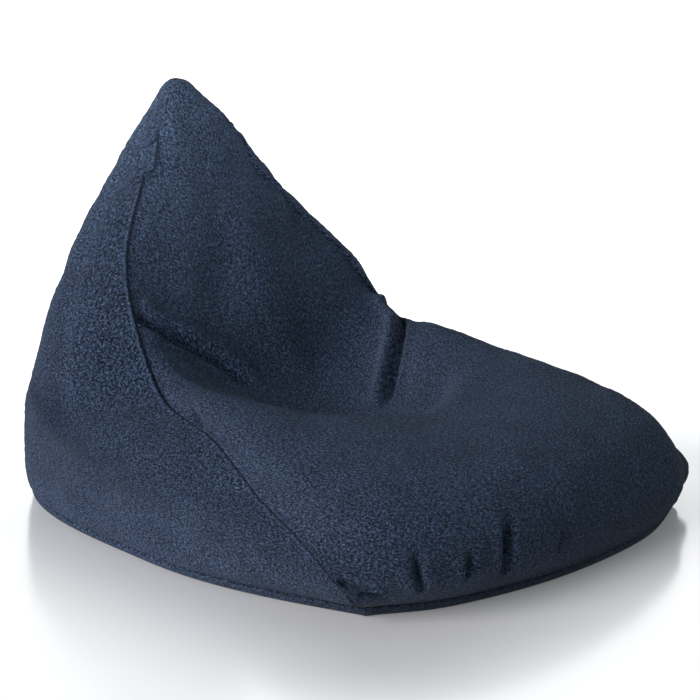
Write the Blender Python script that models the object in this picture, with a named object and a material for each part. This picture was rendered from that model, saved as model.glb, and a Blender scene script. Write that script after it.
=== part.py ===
"""Bean bag lounge chair: a peaked fabric cover over a liner bag of beads, with a zip down its back.

Metres, +Z up.  The sitter faces -Y, so the back is +Y and the sitter's right is -X.
The origin is on the floor, under the middle of the chair's box.
"""
import math

import bpy
import numpy as np
from mathutils import Vector

# Overall sizes of the filled bag
bagWidth = 1.14
bagDepth = 1.26
bagHeight = 0.822

# Cover, liner and beads
coverThickness = 0.003
linerSlack = 0.005
linerThickness = 0.0008
beadGap = 0.001
panelGap = 0.001
baseSeamHeight = 0.025
baseRounding = 0.022
cornerSharpness = 3.8
peakSharpness = 2.2
hoodStation = 9

# Zip in the centre-back seam
zipFirstStation = 3
zipLastStation = 7
zipOpening = 0.013
tapeWidth = 0.021
tapeThickness = 0.0008
tapeOverrun = 0.012
coilWidth = 0.0029
coilHeight = 0.0022
coilChamfer = 0.0006
middleGap = 0.0006
pieceGap = 0.0004
stopHeight = 0.003
sliderLength = 0.012
sliderWall = 0.0012
sliderPlate = 0.0012
bridgeWidth = 0.002
bridgeThickness = 0.0008
bridgeLength = 0.0074
pinSize = 0.0014
pinClearance = 0.0006
pullLength = 0.026
pullWidth = 0.0074
pullThickness = 0.0014
pullEye = 0.0042
pullRim = 0.0016

# Mesh fineness
rowsPerStation = 2
cornerColumns = 6
flankColumns = 4
seatColumns = 6

# Lines down the bag, one point at each station from the base seam to the peak.
# x is in half widths, y in half depths, z in heights.
sideSeam = [(0.750, -0.740, 0.030), (0.884, -0.754, 0.100), (0.871, -0.548, 0.182), (0.825, -0.286, 0.243),
            (0.718, 0.008, 0.296), (0.648, 0.317, 0.326), (0.575, 0.516, 0.468), (0.455, 0.683, 0.608),
            (0.295, 0.762, 0.760), (0.187, 0.810, 0.876), (0.054, 0.870, 0.979)]
flankLine = [(0.955, 0.095, 0.030), (0.993, 0.111, 0.091), (1.000, 0.159, 0.152), (0.986, 0.254, 0.195),
             (0.946, 0.413, 0.213), (0.839, 0.619, 0.310), (0.732, 0.730, 0.426), (0.589, 0.810, 0.547),
             (0.429, 0.841, 0.681), (0.250, 0.865, 0.833), (0.062, 0.889, 0.973)]
rimLine = [(0.464, -0.881, 0.030), (0.589, -0.937, 0.128), (0.679, -0.762, 0.249), (0.679, -0.476, 0.319),
           (0.589, -0.143, 0.355), (0.518, 0.127, 0.365), (0.429, 0.381, 0.365), (0.304, 0.587, 0.535),
           (0.196, 0.698, 0.706), (0.107, 0.770, 0.852), (0.032, 0.852, 0.973)]
seatLine = [(0.0, -0.937, 0.030), (0.0, -0.998, 0.128), (0.0, -0.913, 0.255), (0.0, -0.667, 0.328),
            (0.0, -0.381, 0.319), (0.0, -0.079, 0.231), (0.0, 0.206, 0.231), (0.0, 0.444, 0.414),
            (0.0, 0.627, 0.620), (0.0, 0.754, 0.815), (0.0, 0.844, 0.973)]
backHeights = [0.030, 0.097, 0.182, 0.255, 0.328, 0.414, 0.523, 0.633, 0.742, 0.852, 0.961]
peakPoint = (0.0, 0.881, 1.0)

# Centre-back line: upright between two heights, rounded under at the foot and leaning in to the peak
backDepth = 1.0
backFootDepth = 0.93
backTopDepth = 0.93
uprightFrom = 0.21
uprightTo = 0.70

lastStation = len(sideSeam) - 1
halfTape = middleGap / 2
coilFront = coilHeight + pieceGap


def clearScene():
    for item in list(bpy.data.objects):
        bpy.data.objects.remove(item, do_unlink=True)


def makeMaterial(name, color, roughness, metallic=0.0):
    material = bpy.data.materials.new(name)
    material.use_nodes = True
    shader = material.node_tree.nodes["Principled BSDF"]
    shader.inputs["Base Color"].default_value = (*color, 1.0)
    shader.inputs["Roughness"].default_value = roughness
    shader.inputs["Metallic"].default_value = metallic
    return material


def makeObject(name, vertices, faces, material, origin=(0, 0, 0)):
    mesh = bpy.data.meshes.new(name)
    mesh.from_pydata([tuple(Vector(v) - Vector(origin)) for v in vertices], [], faces)
    mesh.materials.append(material)
    item = bpy.data.objects.new(name, mesh)
    item.location = origin
    bpy.context.scene.collection.objects.link(item)
    return item


def smoothValue(values, t):
    """A smooth curve through evenly spaced values, read at t."""
    last = len(values) - 1
    i = min(int(t), last - 1)
    u = t - i
    b, c = np.array(values[i], float), np.array(values[i + 1], float)
    a = np.array(values[i - 1], float) if i > 0 else 2 * b - c
    d = np.array(values[i + 2], float) if i < last - 1 else 2 * c - b
    return 0.5 * (2 * b + (c - a) * u + (2 * a - 5 * b + 4 * c - d) * u ** 2 + (3 * b - a - 3 * c + d) * u ** 3)


def linePoint(line, t):
    """The point of a line at station t, in metres; the foot of every line stays at the base seam."""
    x, y, z = smoothValue(line, t) * (bagWidth / 2, bagDepth / 2, bagHeight)
    foot = line[0][2] * bagHeight
    return np.array((x, y, z + (baseSeamHeight - foot) * max(0.0, 1 - t)))


def backPoint(t):
    """The centre-back line at station t."""
    height = float(smoothValue(backHeights, t))
    share = backDepth
    if height < uprightFrom:
        fall = (uprightFrom - height) / (uprightFrom - backHeights[0])
        share -= (backDepth - backFootDepth) * fall ** 2
    if height > uprightTo:
        lean = (height - uprightTo) / (backHeights[-1] - uprightTo)
        share -= (backDepth - backTopDepth) * lean ** 2
    foot = (baseSeamHeight - backHeights[0] * bagHeight) * max(0.0, 1 - t)
    return np.array((0.0, share * bagDepth / 2, height * bagHeight + foot))


def cornerPoints(t):
    """From the centre back round the rear corner to the flank, without the flank's own point."""
    back, flank = backPoint(t), linePoint(flankLine, t)
    power = cornerSharpness + (peakSharpness - cornerSharpness) * t / lastStation
    seamHalf = zipOpening / 2
    tapeEdge = tapeWidth + 2 * pieceGap
    angles = [math.pi / 2]
    for x in (seamHalf, tapeEdge):
        angles.append(math.atan2(flank[0], x))
    last = angles[-1]
    angles += [last * (1 - k / cornerColumns) for k in range(1, cornerColumns)]
    points = []
    for angle in angles:
        across, rise = math.cos(angle), math.sin(angle)
        reach = (across ** power + rise ** power) ** (-1 / power)
        share = 1 - angle / (math.pi / 2)
        blend = share * share * (3 - 2 * share)
        x = flank[0] * across * reach
        y = flank[1] + (back[1] - flank[1]) * rise * reach
        points.append((x, y, back[2] + (flank[2] - back[2]) * blend))
    return points


def flankPoints(t):
    """From the flank forward to the side seam, without the seam's own point."""
    flank, seam = linePoint(flankLine, t), linePoint(sideSeam, t)
    points = []
    for k in range(flankColumns):
        share = 1 - k / flankColumns
        swell = math.sin(math.pi / 2 * share)
        x = seam[0] + (flank[0] - seam[0]) * swell
        y = seam[1] + (flank[1] - seam[1]) * share
        z = seam[2] + (flank[2] - seam[2]) * share
        points.append((x, y, z))
    return points


def seatPoints(t):
    """From the side seam over the rim to the middle of the seat."""
    seam, rim, middle = linePoint(sideSeam, t), linePoint(rimLine, t), linePoint(seatLine, t)
    mirror = (-1, 1, 1)
    across = [seam, rim, middle, rim * mirror, seam * mirror]
    points = []
    for k in range(seatColumns + 1):
        points.append(tuple(smoothValue(across, 2 * k / seatColumns)))
    return points


def ringPoints(t):
    """One closed ring: centre back, right side, seat, left side."""
    half = cornerPoints(t) + flankPoints(t) + seatPoints(t)
    right = [(-x, y, z) for x, y, z in half]
    left = [(x, y, z) for x, y, z in half[-2:0:-1]]
    return right + left


sideColumns = 2 + cornerColumns + flankColumns
halfColumns = sideColumns + seatColumns
ringColumns = 2 * halfColumns


def groundRing(inset, height):
    """The base seam's ring drawn in towards the middle, at a height near the floor."""
    seamRing = np.array(ringPoints(0.0))
    before = np.roll(seamRing, 1, axis=0)
    after = np.roll(seamRing, -1, axis=0)
    along = (after - before)[:, :2]
    along /= np.linalg.norm(along, axis=1)[:, None]
    inward = np.stack([along[:, 1], -along[:, 0]], axis=1)
    ring = seamRing.copy()
    ring[:, :2] += inward * np.sign(-np.sum(inward * seamRing[:, :2], axis=1))[:, None] * inset
    ring[:, 2] = height
    return [tuple(p) for p in ring]


def bagRows():
    rows = [groundRing(baseRounding, 0.0), groundRing(baseRounding * 0.45, baseSeamHeight * 0.32)]
    for k in range(lastStation * rowsPerStation + 1):
        rows.append(ringPoints(k / rowsPerStation))
    return rows


def centreShift(rows):
    """How far the bag moves along Y so that its box, with the zip pull, is centred on the origin."""
    ys = [p[1] for row in rows for p in row]
    return -(min(ys) + max(ys) + pullStandOut()) / 2


def pullStandOut():
    """How far the zip pull stands proud of the bag's back."""
    return sliderFront() + pinClearance + pinSize + pinClearance + bridgeThickness


def sliderFront():
    """The slider plate's front face, measured out from the bag's back."""
    return coilFace() + pieceGap + sliderPlate


def coilFace():
    """The coils' front face, measured out from the bag's back."""
    return tapeFace() + coilFront


def tapeFace():
    """The tapes' front face, measured out from the bag's back."""
    return -(coverThickness + pieceGap)


class BagSurface:
    """The filled bag's outer surface: a closed triangle mesh with a panel name on each triangle."""

    def __init__(self):
        rows = bagRows()
        self.shift = centreShift(rows)
        points = [p for row in rows for p in row]
        self.rowCount = len(rows)
        floorCentre = (0.0, 0.0, 0.0)
        points.append(floorCentre)
        points.append(tuple(np.array(peakPoint) * (bagWidth / 2, bagDepth / 2, bagHeight)))
        self.points = np.array(points) + (0, self.shift, 0)
        self.triangles, self.cells = self.makeTriangles()
        self.normals = self.vertexNormals()
        self.backY = bagDepth / 2 * backDepth + self.shift

    def vertex(self, row, column):
        return row * ringColumns + column % ringColumns

    def makeTriangles(self):
        triangles, cells = [], []
        floorCentre = len(self.points) - 2
        peak = len(self.points) - 1
        top = self.rowCount - 1
        for column in range(ringColumns):
            triangles.append((floorCentre, self.vertex(0, column + 1), self.vertex(0, column)))
            cells.append((-1, column))
            triangles.append((peak, self.vertex(top, column), self.vertex(top, column + 1)))
            cells.append((top, column))
        for row in range(top):
            for column in range(ringColumns):
                a, b = self.vertex(row, column), self.vertex(row, column + 1)
                c, d = self.vertex(row + 1, column + 1), self.vertex(row + 1, column)
                pairs = [(a, b, c), (a, c, d)] if column < halfColumns else [(a, b, d), (b, c, d)]
                triangles += pairs
                cells += [(row, column)] * 2
        return np.array(triangles), cells

    def vertexNormals(self):
        a, b, c = (self.points[self.triangles[:, k]] for k in range(3))
        faceNormals = np.cross(b - a, c - a)
        normals = np.zeros_like(self.points)
        for k in range(3):
            np.add.at(normals, self.triangles[:, k], faceNormals)
        return normals / np.linalg.norm(normals, axis=1)[:, None]

    def panelOf(self, cell, withOpening):
        """The panel that a cell of the surface belongs to, or None over the zip."""
        row, column = cell
        baseRows = 2
        if row < baseRows:
            return "base"
        station = (row - baseRows) / rowsPerStation
        rightSide = column < sideColumns
        leftSide = column >= ringColumns - sideColumns
        if station >= hoodStation or not (rightSide or leftSide):
            return "seat"
        overZip = zipFirstStation <= station < zipLastStation and column in (0, ringColumns - 1)
        if withOpening and overZip:
            return None
        return "right" if rightSide else "left"

    def stationHeight(self, station):
        """The centre-back line's height at a station."""
        return self.points[self.vertex(2 + station * rowsPerStation, 0)][2]


def insetDirections(points, triangles):
    """For each open-edge vertex of a patch, the shift that clears both its edges by one unit."""
    edges = {}
    for triangle in triangles:
        a, b, c = (points[k] for k in triangle)
        normal = np.cross(b - a, c - a)
        normal /= np.linalg.norm(normal)
        for k in range(3):
            edges[(triangle[k], triangle[(k + 1) % 3])] = normal
    shifts, rim = {}, []
    for (i, j), normal in edges.items():
        if (j, i) not in edges:
            rim.append((i, j))
            side = np.cross(normal, points[j] - points[i])
            side /= np.linalg.norm(side)
            shifts.setdefault(i, []).append(side)
            shifts.setdefault(j, []).append(side)
    result = {}
    for k, sides in shifts.items():
        total = np.sum(sides, axis=0)
        result[k] = total / max(0.6, 1 + float(np.dot(sides[0], sides[-1]))) * (2 / len(sides))
    return result, rim


def panelShell(surface, panel, depth, thickness, withOpening):
    """A panel as a closed sheet: its outer face, its inner face and the edge between them."""
    keep = [surface.panelOf(cell, withOpening) == panel for cell in surface.cells]
    triangles = [tuple(int(v) for v in t) for t, use in zip(surface.triangles, keep) if use]
    used = sorted({v for t in triangles for v in t})
    number = {v: k for k, v in enumerate(used)}
    shifts, rim = insetDirections(surface.points, triangles)
    outer, inner = [], []
    for v in used:
        place = surface.points[v] + shifts.get(v, np.zeros(3)) * panelGap / 2
        outer.append(place - surface.normals[v] * depth)
        inner.append(place - surface.normals[v] * (depth + thickness))
    count = len(used)
    faces = [tuple(number[v] for v in t) for t in triangles]
    faces += [tuple(number[v] + count for v in reversed(t)) for t in triangles]
    for i, j in rim:
        a, b = number[i], number[j]
        faces.append((b, a, a + count))
        faces.append((b, a + count, b + count))
    return outer + inner, faces


def makeCover(surface, fabric):
    names = {"seat": "seat_panel", "right": "side_panel_right", "left": "side_panel_left", "base": "base_panel"}
    for panel, name in names.items():
        vertices, faces = panelShell(surface, panel, 0.0, coverThickness, True)
        makeObject(name, vertices, faces, fabric)


def makeLiner(surface, cloth):
    names = {"seat": "liner_seat_panel", "right": "liner_side_right", "left": "liner_side_left",
             "base": "liner_base_panel"}
    depth = coverThickness + linerSlack
    for panel, name in names.items():
        vertices, faces = panelShell(surface, panel, depth, linerThickness, False)
        makeObject(name, vertices, faces, cloth)


def makeBeads(surface, beads):
    """All the beads as one closed body, just inside the liner."""
    depth = coverThickness + linerSlack + linerThickness + beadGap
    vertices = surface.points - surface.normals * depth
    makeObject("bead_fill", vertices, [tuple(int(v) for v in t) for t in surface.triangles], beads)


def prism(outline, low, high):
    """An outline in X and Y, anticlockwise from above, carried up from z = low to z = high."""
    count = len(outline)
    vertices = [(x, y, low) for x, y in outline] + [(x, y, high) for x, y in outline]
    faces = [tuple(reversed(range(count))), tuple(range(count, 2 * count))]
    for k in range(count):
        after = (k + 1) % count
        faces.append((k, after, count + after, count + k))
    return vertices, faces


def blockSolid(xs, ys, zs, filled):
    """A closed solid made of the blocks between the given cuts for which filled(i, j, k) is true."""
    sizes = (len(xs) - 1, len(ys) - 1, len(zs) - 1)

    def isFilled(cell):
        return all(0 <= c < n for c, n in zip(cell, sizes)) and filled(*cell)

    sides = [((1, 0, 0), [(1, 0, 0), (1, 1, 0), (1, 1, 1), (1, 0, 1)]),
             ((-1, 0, 0), [(0, 0, 0), (0, 0, 1), (0, 1, 1), (0, 1, 0)]),
             ((0, 1, 0), [(0, 1, 0), (0, 1, 1), (1, 1, 1), (1, 1, 0)]),
             ((0, -1, 0), [(0, 0, 0), (1, 0, 0), (1, 0, 1), (0, 0, 1)]),
             ((0, 0, 1), [(0, 0, 1), (1, 0, 1), (1, 1, 1), (0, 1, 1)]),
             ((0, 0, -1), [(0, 0, 0), (0, 1, 0), (1, 1, 0), (1, 0, 0)])]
    numbers, vertices, faces = {}, [], []
    for cell in np.ndindex(*sizes):
        if not isFilled(cell):
            continue
        for step, corners in sides:
            if isFilled(tuple(c + s for c, s in zip(cell, step))):
                continue
            face = []
            for corner in corners:
                key = tuple(c + s for c, s in zip(cell, corner))
                if key not in numbers:
                    numbers[key] = len(vertices)
                    vertices.append((xs[key[0]], ys[key[1]], zs[key[2]]))
                face.append(numbers[key])
            faces.append(tuple(face))
    return vertices, faces


class ZipPlan:
    """Where the zip's pieces go, worked out from the bag's back and the opening left in the seam."""

    def __init__(self, surface):
        self.back = surface.backY
        self.openLow = surface.stationHeight(zipFirstStation)
        self.openHigh = surface.stationHeight(zipLastStation)
        endMargin = panelGap + pieceGap
        self.coilLow = self.openLow + endMargin + stopHeight + pieceGap
        self.coilHigh = self.openHigh - endMargin - stopHeight - pieceGap
        self.sliderLow = self.coilLow
        self.sliderHigh = self.sliderLow + sliderLength
        self.pinY = self.back + sliderFront() + pinClearance + pinSize / 2
        self.pinZ = (self.sliderLow + self.sliderHigh) / 2


def makeTapes(plan, cloth):
    low, high = plan.openLow - tapeOverrun, plan.openHigh + tapeOverrun
    front = plan.back + tapeFace()
    for side, name in ((-1, "zip_tape_right"), (1, "zip_tape_left")):
        xs = sorted((side * halfTape, side * tapeWidth))
        vertices, faces = blockSolid(xs, [front - tapeThickness, front], [low, high], lambda i, j, k: True)
        makeObject(name, vertices, faces, cloth)


def makeCoils(plan, nylon):
    """Each coil as one bar with its two outer corners cut."""
    rear = plan.back + tapeFace() + pieceGap
    front = plan.back + coilFace()
    inner, outer = halfTape, halfTape + coilWidth
    for side, name in ((-1, "zip_coil_right"), (1, "zip_coil_left")):
        outline = [(inner, rear), (outer, rear), (outer, front - coilChamfer), (outer - coilChamfer, front),
                   (inner + coilChamfer / 2, front), (inner, front - coilChamfer / 2)]
        if side < 0:
            outline = [(-x, y) for x, y in reversed(outline)]
        vertices, faces = prism(outline, plan.coilLow, plan.coilHigh)
        makeObject(name, vertices, faces, nylon)


def makeStops(plan, metal):
    """Two lower stops that the closed slider rests on, and one upper stop across both coils."""
    rear = plan.back + tapeFace() + pieceGap
    front = plan.back + sliderFront()
    inner, outer = halfTape, halfTape + coilWidth
    low, high = plan.coilLow - pieceGap - stopHeight, plan.coilLow - pieceGap
    for side, name in ((-1, "zip_lower_stop_right"), (1, "zip_lower_stop_left")):
        xs = sorted((side * inner, side * outer))
        vertices, faces = blockSolid(xs, [rear, front], [low, high], lambda i, j, k: True)
        makeObject(name, vertices, faces, metal)
    low, high = plan.coilHigh + pieceGap, plan.coilHigh + pieceGap + stopHeight
    vertices, faces = blockSolid([-outer, outer], [rear, front], [low, high], lambda i, j, k: True)
    makeObject("zip_upper_stop", vertices, faces, metal)


def makeSlider(plan, metal):
    """A plate over the coils with a flange down each side, and a bridge that the pull hangs from."""
    rear = plan.back + tapeFace() + pieceGap
    plateRear = plan.back + coilFace() + pieceGap
    plateFront = plan.back + sliderFront()
    bridgeRear = plan.pinY + pinSize / 2 + pinClearance
    bridgeFront = bridgeRear + bridgeThickness
    wallInner = halfTape + coilWidth + pieceGap
    wallOuter = wallInner + sliderWall
    xs = [-wallOuter, -wallInner, -bridgeWidth / 2, bridgeWidth / 2, wallInner, wallOuter]
    ys = [rear, plateRear, plateFront, bridgeRear, bridgeFront]
    postGap = bridgeLength / 2 - bridgeThickness
    zs = [plan.sliderLow, plan.pinZ - bridgeLength / 2, plan.pinZ - postGap, plan.pinZ + postGap,
          plan.pinZ + bridgeLength / 2, plan.sliderHigh]

    def filled(i, j, k):
        flange = j == 0 and i in (0, 4)
        plate = j == 1
        post = j == 2 and i == 2 and k in (1, 3)
        bridge = j == 3 and i == 2 and k in (1, 2, 3)
        return flange or plate or post or bridge

    vertices, faces = blockSolid(xs, ys, zs, filled)
    origin = (0, plan.pinY, plan.pinZ)
    return makeObject("zip_slider", vertices, faces, metal, origin)


def makePull(plan, metal, slider):
    """A flat pull hanging from the pin under the slider's bridge, turning about the pin."""
    eyeTop = plan.pinZ + pinSize / 2
    eyeLow = plan.pinZ - pinSize / 2 - pullEye
    xs = [-pullWidth / 2, -pullWidth / 2 + pullRim, pullWidth / 2 - pullRim, pullWidth / 2]
    ys = [plan.pinY - pullThickness / 2, plan.pinY + pullThickness / 2]
    zs = [plan.pinZ - pullLength, eyeLow, plan.pinZ - pinSize / 2, eyeTop]

    def filled(i, j, k):
        eye = i == 1 and k == 1
        return not eye

    vertices, faces = blockSolid(xs, ys, zs, filled)
    origin = (0, plan.pinY, plan.pinZ)
    pull = makeObject("zip_pull", vertices, faces, metal, origin)
    pull.parent = slider
    pull.matrix_parent_inverse = slider.matrix_world.inverted()
    return pull


def makeZip(surface):
    plan = ZipPlan(surface)
    tapeCloth = makeMaterial("zip_tape", (0.016, 0.024, 0.045), 0.85)
    nylon = makeMaterial("zip_coil", (0.012, 0.018, 0.034), 0.45)
    metal = makeMaterial("zip_metal", (0.045, 0.047, 0.052), 0.38, 1.0)
    makeTapes(plan, tapeCloth)
    makeCoils(plan, nylon)
    makeStops(plan, metal)
    slider = makeSlider(plan, metal)
    bpy.context.view_layer.update()
    makePull(plan, metal, slider)


def main():
    clearScene()
    surface = BagSurface()
    makeCover(surface, makeMaterial("cover_fabric", (0.022, 0.035, 0.067), 0.95))
    makeZip(surface)
    makeLiner(surface, makeMaterial("liner_cloth", (0.72, 0.71, 0.68), 0.8))
    makeBeads(surface, makeMaterial("beads", (0.86, 0.86, 0.85), 0.7))


main()
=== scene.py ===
import math

import bmesh
import bpy
import numpy as np
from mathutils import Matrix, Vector, kdtree, noise


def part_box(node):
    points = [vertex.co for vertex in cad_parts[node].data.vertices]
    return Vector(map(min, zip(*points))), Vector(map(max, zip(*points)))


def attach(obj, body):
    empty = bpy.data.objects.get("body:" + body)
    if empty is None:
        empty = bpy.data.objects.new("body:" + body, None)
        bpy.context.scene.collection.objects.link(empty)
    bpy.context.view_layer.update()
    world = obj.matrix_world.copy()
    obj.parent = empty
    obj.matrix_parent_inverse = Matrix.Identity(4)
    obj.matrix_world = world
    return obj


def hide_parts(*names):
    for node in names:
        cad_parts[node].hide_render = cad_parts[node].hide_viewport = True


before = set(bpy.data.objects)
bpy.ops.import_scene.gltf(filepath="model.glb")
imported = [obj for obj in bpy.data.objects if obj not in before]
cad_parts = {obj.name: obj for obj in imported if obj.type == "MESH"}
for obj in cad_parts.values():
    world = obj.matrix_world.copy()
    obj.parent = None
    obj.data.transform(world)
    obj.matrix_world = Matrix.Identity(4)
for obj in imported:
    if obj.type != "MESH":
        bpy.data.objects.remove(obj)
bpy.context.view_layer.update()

# Peaked bean bag chair.  Metres, +Z up; the sitter faces -Y, so the sitter's right side is -X.
coverNodes = ["seat_panel", "side_panel_right", "side_panel_left", "base_panel"]
coverBoxes = [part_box(name) for name in coverNodes]
coverLow = [min(low[k] for low, high in coverBoxes) for k in range(3)]
coverHigh = [max(high[k] for low, high in coverBoxes) for k in range(3)]

# Lines down the bag, one point at each station from the base seam (0) to the peak (10).
# x is in half widths, y in half depths from the middle, z in heights.
bagLines = {
    "sideSeam": [(0.750, -0.740, 0.030), (0.884, -0.754, 0.100), (0.871, -0.548, 0.182),
                 (0.825, -0.286, 0.243), (0.718, 0.008, 0.296), (0.648, 0.317, 0.326),
                 (0.575, 0.516, 0.468), (0.455, 0.683, 0.608), (0.295, 0.762, 0.760),
                 (0.187, 0.810, 0.876), (0.054, 0.870, 0.979)],
    "flank": [(0.955, 0.095, 0.030), (0.993, 0.111, 0.091), (1.000, 0.159, 0.152), (0.986, 0.254, 0.195),
              (0.946, 0.413, 0.213), (0.839, 0.619, 0.310), (0.732, 0.730, 0.426), (0.589, 0.810, 0.547),
              (0.429, 0.841, 0.681), (0.250, 0.865, 0.833), (0.062, 0.889, 0.973)],
    "rim": [(0.464, -0.881, 0.030), (0.589, -0.937, 0.128), (0.679, -0.762, 0.249), (0.679, -0.476, 0.319),
            (0.589, -0.143, 0.355), (0.518, 0.127, 0.365), (0.429, 0.381, 0.365), (0.304, 0.587, 0.535),
            (0.196, 0.698, 0.706), (0.107, 0.770, 0.852), (0.032, 0.852, 0.973)],
    "middle": [(0.0, -0.937, 0.030), (0.0, -0.998, 0.128), (0.0, -0.913, 0.255), (0.0, -0.667, 0.328),
               (0.0, -0.381, 0.319), (0.0, -0.079, 0.231), (0.0, 0.206, 0.231), (0.0, 0.444, 0.414),
               (0.0, 0.627, 0.620), (0.0, 0.754, 0.815), (0.0, 0.844, 0.973)],
}
# The filled bag isn't the same on both sides: points that differ, as {station: point}
ownPoints = {
    "right": {"sideSeam": {0: (0.735, -0.700, 0.030), 10: (0.068, 0.868, 0.979)},
              "rim": {0: (0.455, -0.845, 0.030), 10: (0.044, 0.852, 0.976)},
              "flank": {0: (0.962, 0.095, 0.030), 3: (0.986, 0.254, 0.205), 4: (0.946, 0.413, 0.248)}},
    "left": {"sideSeam": {0: (0.815, -0.800, 0.030), 1: (0.905, -0.775, 0.100), 3: (0.815, -0.296, 0.230),
                          4: (0.700, -0.002, 0.264), 5: (0.636, 0.320, 0.296), 6: (0.566, 0.520, 0.464),
                          9: (0.205, 0.806, 0.868), 10: (0.085, 0.865, 0.972)},
             "rim": {0: (0.475, -0.925, 0.030), 3: (0.679, -0.476, 0.308), 4: (0.589, -0.143, 0.342),
                     10: (0.050, 0.850, 0.976)},
             "flank": {0: (0.985, 0.060, 0.030), 3: (0.980, 0.244, 0.178), 4: (0.915, 0.403, 0.205),
                       5: (0.800, 0.605, 0.275), 9: (0.262, 0.862, 0.826), 10: (0.090, 0.885, 0.968)}},
}
# The right seam steps in towards the seat above a station, where the cloth above laps over it
seamStep = {"station": 8.26, "length": 0.10, "share": 0.26, "ends": (8.9, 9.7)}
bagForm = {
    "backHeights": [0.030, 0.097, 0.182, 0.255, 0.328, 0.414, 0.523, 0.633, 0.742, 0.852, 0.961],
    "frontShare": 0.998,       # furthest forward of the middle line
    "peak": (0.0, 0.881, 1.0),
    "hoodStation": 9.0,        # above it the seat panel folds over the peak
    "lastStation": 10.0,
    "capStation": 11.0,
    "capFullness": 2.6,
    "cornerSharpness": 3.8,
    "peakSharpness": 2.2,
    "backFoot": 0.995,
    "backTop": 0.93,
    "uprightFrom": 0.21,
    "uprightTo": 0.70,
    "baseSeamHeight": 0.025,
    "baseRounding": 0.022,
}
halfWidth = (coverHigh[0] - coverLow[0]) / 2
bagHeight = coverHigh[2]
halfDepth = (coverHigh[1] - coverLow[1]) / (1 + bagForm["frontShare"])
middleY = coverHigh[1] - halfDepth
unit = np.array((halfWidth, halfDepth, bagHeight))
shiftY = np.array((0.0, middleY, 0.0))


def smoothAlong(values, place):
    # a smooth curve through evenly spaced values (of any shape), read at each place
    values = np.asarray(values, float)
    place = np.atleast_1d(np.asarray(place, float))
    last = len(values) - 1
    padded = np.concatenate([2 * values[:1] - values[1:2], values, 2 * values[-1:] - values[-2:-1]])
    i = np.clip(place.astype(int), 0, last - 1)
    u = (place - i).reshape([-1] + [1] * (values.ndim - 1))
    a, b, c, d = (padded[i + k] for k in range(4))
    return 0.5 * (2 * b + (c - a) * u + (2 * a - 5 * b + 4 * c - d) * u ** 2
                  + (3 * b - a - 3 * c + d) * u ** 3)


def smoothStep(low, high, value):
    x = np.clip((value - low) / (high - low), 0, 1)
    return x * x * (3 - 2 * x)


def lineAt(name, stations, side):
    # a line's points on one side in metres, as if it lay on +X; its foot stays at the base seam
    line = list(bagLines[name])
    for station, point in ownPoints[side].get(name, {}).items():
        line[station] = point
    points = smoothAlong(line, stations) * unit
    foot = line[0][2] * bagHeight
    points[:, 2] += (bagForm["baseSeamHeight"] - foot) * np.maximum(0, 1 - stations)
    return points + shiftY


def seamLine(stations, side):
    points = lineAt("sideSeam", stations, side)
    if side == "right":
        low, high = seamStep["station"], seamStep["station"] + seamStep["length"]
        ends = 1 - smoothStep(*seamStep["ends"], stations)
        share = seamStep["share"] * smoothStep(low, high, stations) * ends
        points += (lineAt("rim", stations, side) - points) * share[:, None]
    return points


def backLine(stations):
    heights = smoothAlong(bagForm["backHeights"], stations)
    low, high = bagForm["uprightFrom"], bagForm["uprightTo"]
    fall = np.clip((low - heights) / (low - bagForm["backHeights"][0]), 0, None)
    lean = np.clip((heights - high) / (bagForm["backHeights"][-1] - high), 0, None)
    share = 1 - (1 - bagForm["backFoot"]) * fall ** 2 - (1 - bagForm["backTop"]) * lean ** 2
    foot = (bagForm["baseSeamHeight"] - bagForm["backHeights"][0] * bagHeight) * np.maximum(0, 1 - stations)
    return np.stack([0 * heights, share * halfDepth + middleY, heights * bagHeight + foot], -1)


def evenly(polylines, shares):
    # points along each polyline at shares of its length
    out = np.empty((len(polylines), len(shares), 3))
    for row, line in zip(out, polylines):
        lengths = np.concatenate([[0], np.cumsum(np.linalg.norm(np.diff(line, axis=0), axis=1))])
        for k in range(3):
            row[:, k] = np.interp(shares * lengths[-1], lengths, line[:, k])
    return out


def sideRows(stations, shares, side):
    # from the centre back (share 0) round the rear corner and the flank to the side seam (share 1), on +X
    back, flank, seam = backLine(stations), lineAt("flank", stations, side), seamLine(stations, side)
    turn = (bagForm["peakSharpness"] - bagForm["cornerSharpness"]) / bagForm["lastStation"]
    power = (bagForm["cornerSharpness"] + turn * stations)[:, None]
    angle = np.linspace(math.pi / 2, 0, 400)[None, :]
    across, rise = np.abs(np.cos(angle)), np.sin(angle)
    reach = (across ** power + rise ** power) ** (-1 / power)
    part = 1 - angle / (math.pi / 2)
    blend = part * part * (3 - 2 * part) + 0 * power
    corner = np.stack([flank[:, :1] * across * reach,
                       flank[:, 1:2] + (back[:, 1:2] - flank[:, 1:2]) * rise * reach,
                       back[:, 2:] + (flank[:, 2:] - back[:, 2:]) * blend], -1)
    part = np.linspace(1, 0, 200)[None, 1:]
    swell = np.sin(math.pi / 2 * part)
    front = np.stack([seam[:, :1] + (flank[:, :1] - seam[:, :1]) * swell,
                      seam[:, 1:2] + (flank[:, 1:2] - seam[:, 1:2]) * part,
                      seam[:, 2:] + (flank[:, 2:] - seam[:, 2:]) * part], -1)
    return evenly(np.concatenate([corner, front], 1), shares)


def seatRows(stations, shares):
    # from the right side seam (share 0) over the rims and the hollow to the left one (share 1)
    mirror = np.array((-1, 1, 1))
    across = np.stack([seamLine(stations, "right") * mirror, lineAt("rim", stations, "right") * mirror,
                       lineAt("middle", stations, "right"), lineAt("rim", stations, "left"),
                       seamLine(stations, "left")])
    return evenly(smoothAlong(across, np.linspace(0, 4, 600)).transpose(1, 0, 2), shares)


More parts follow.
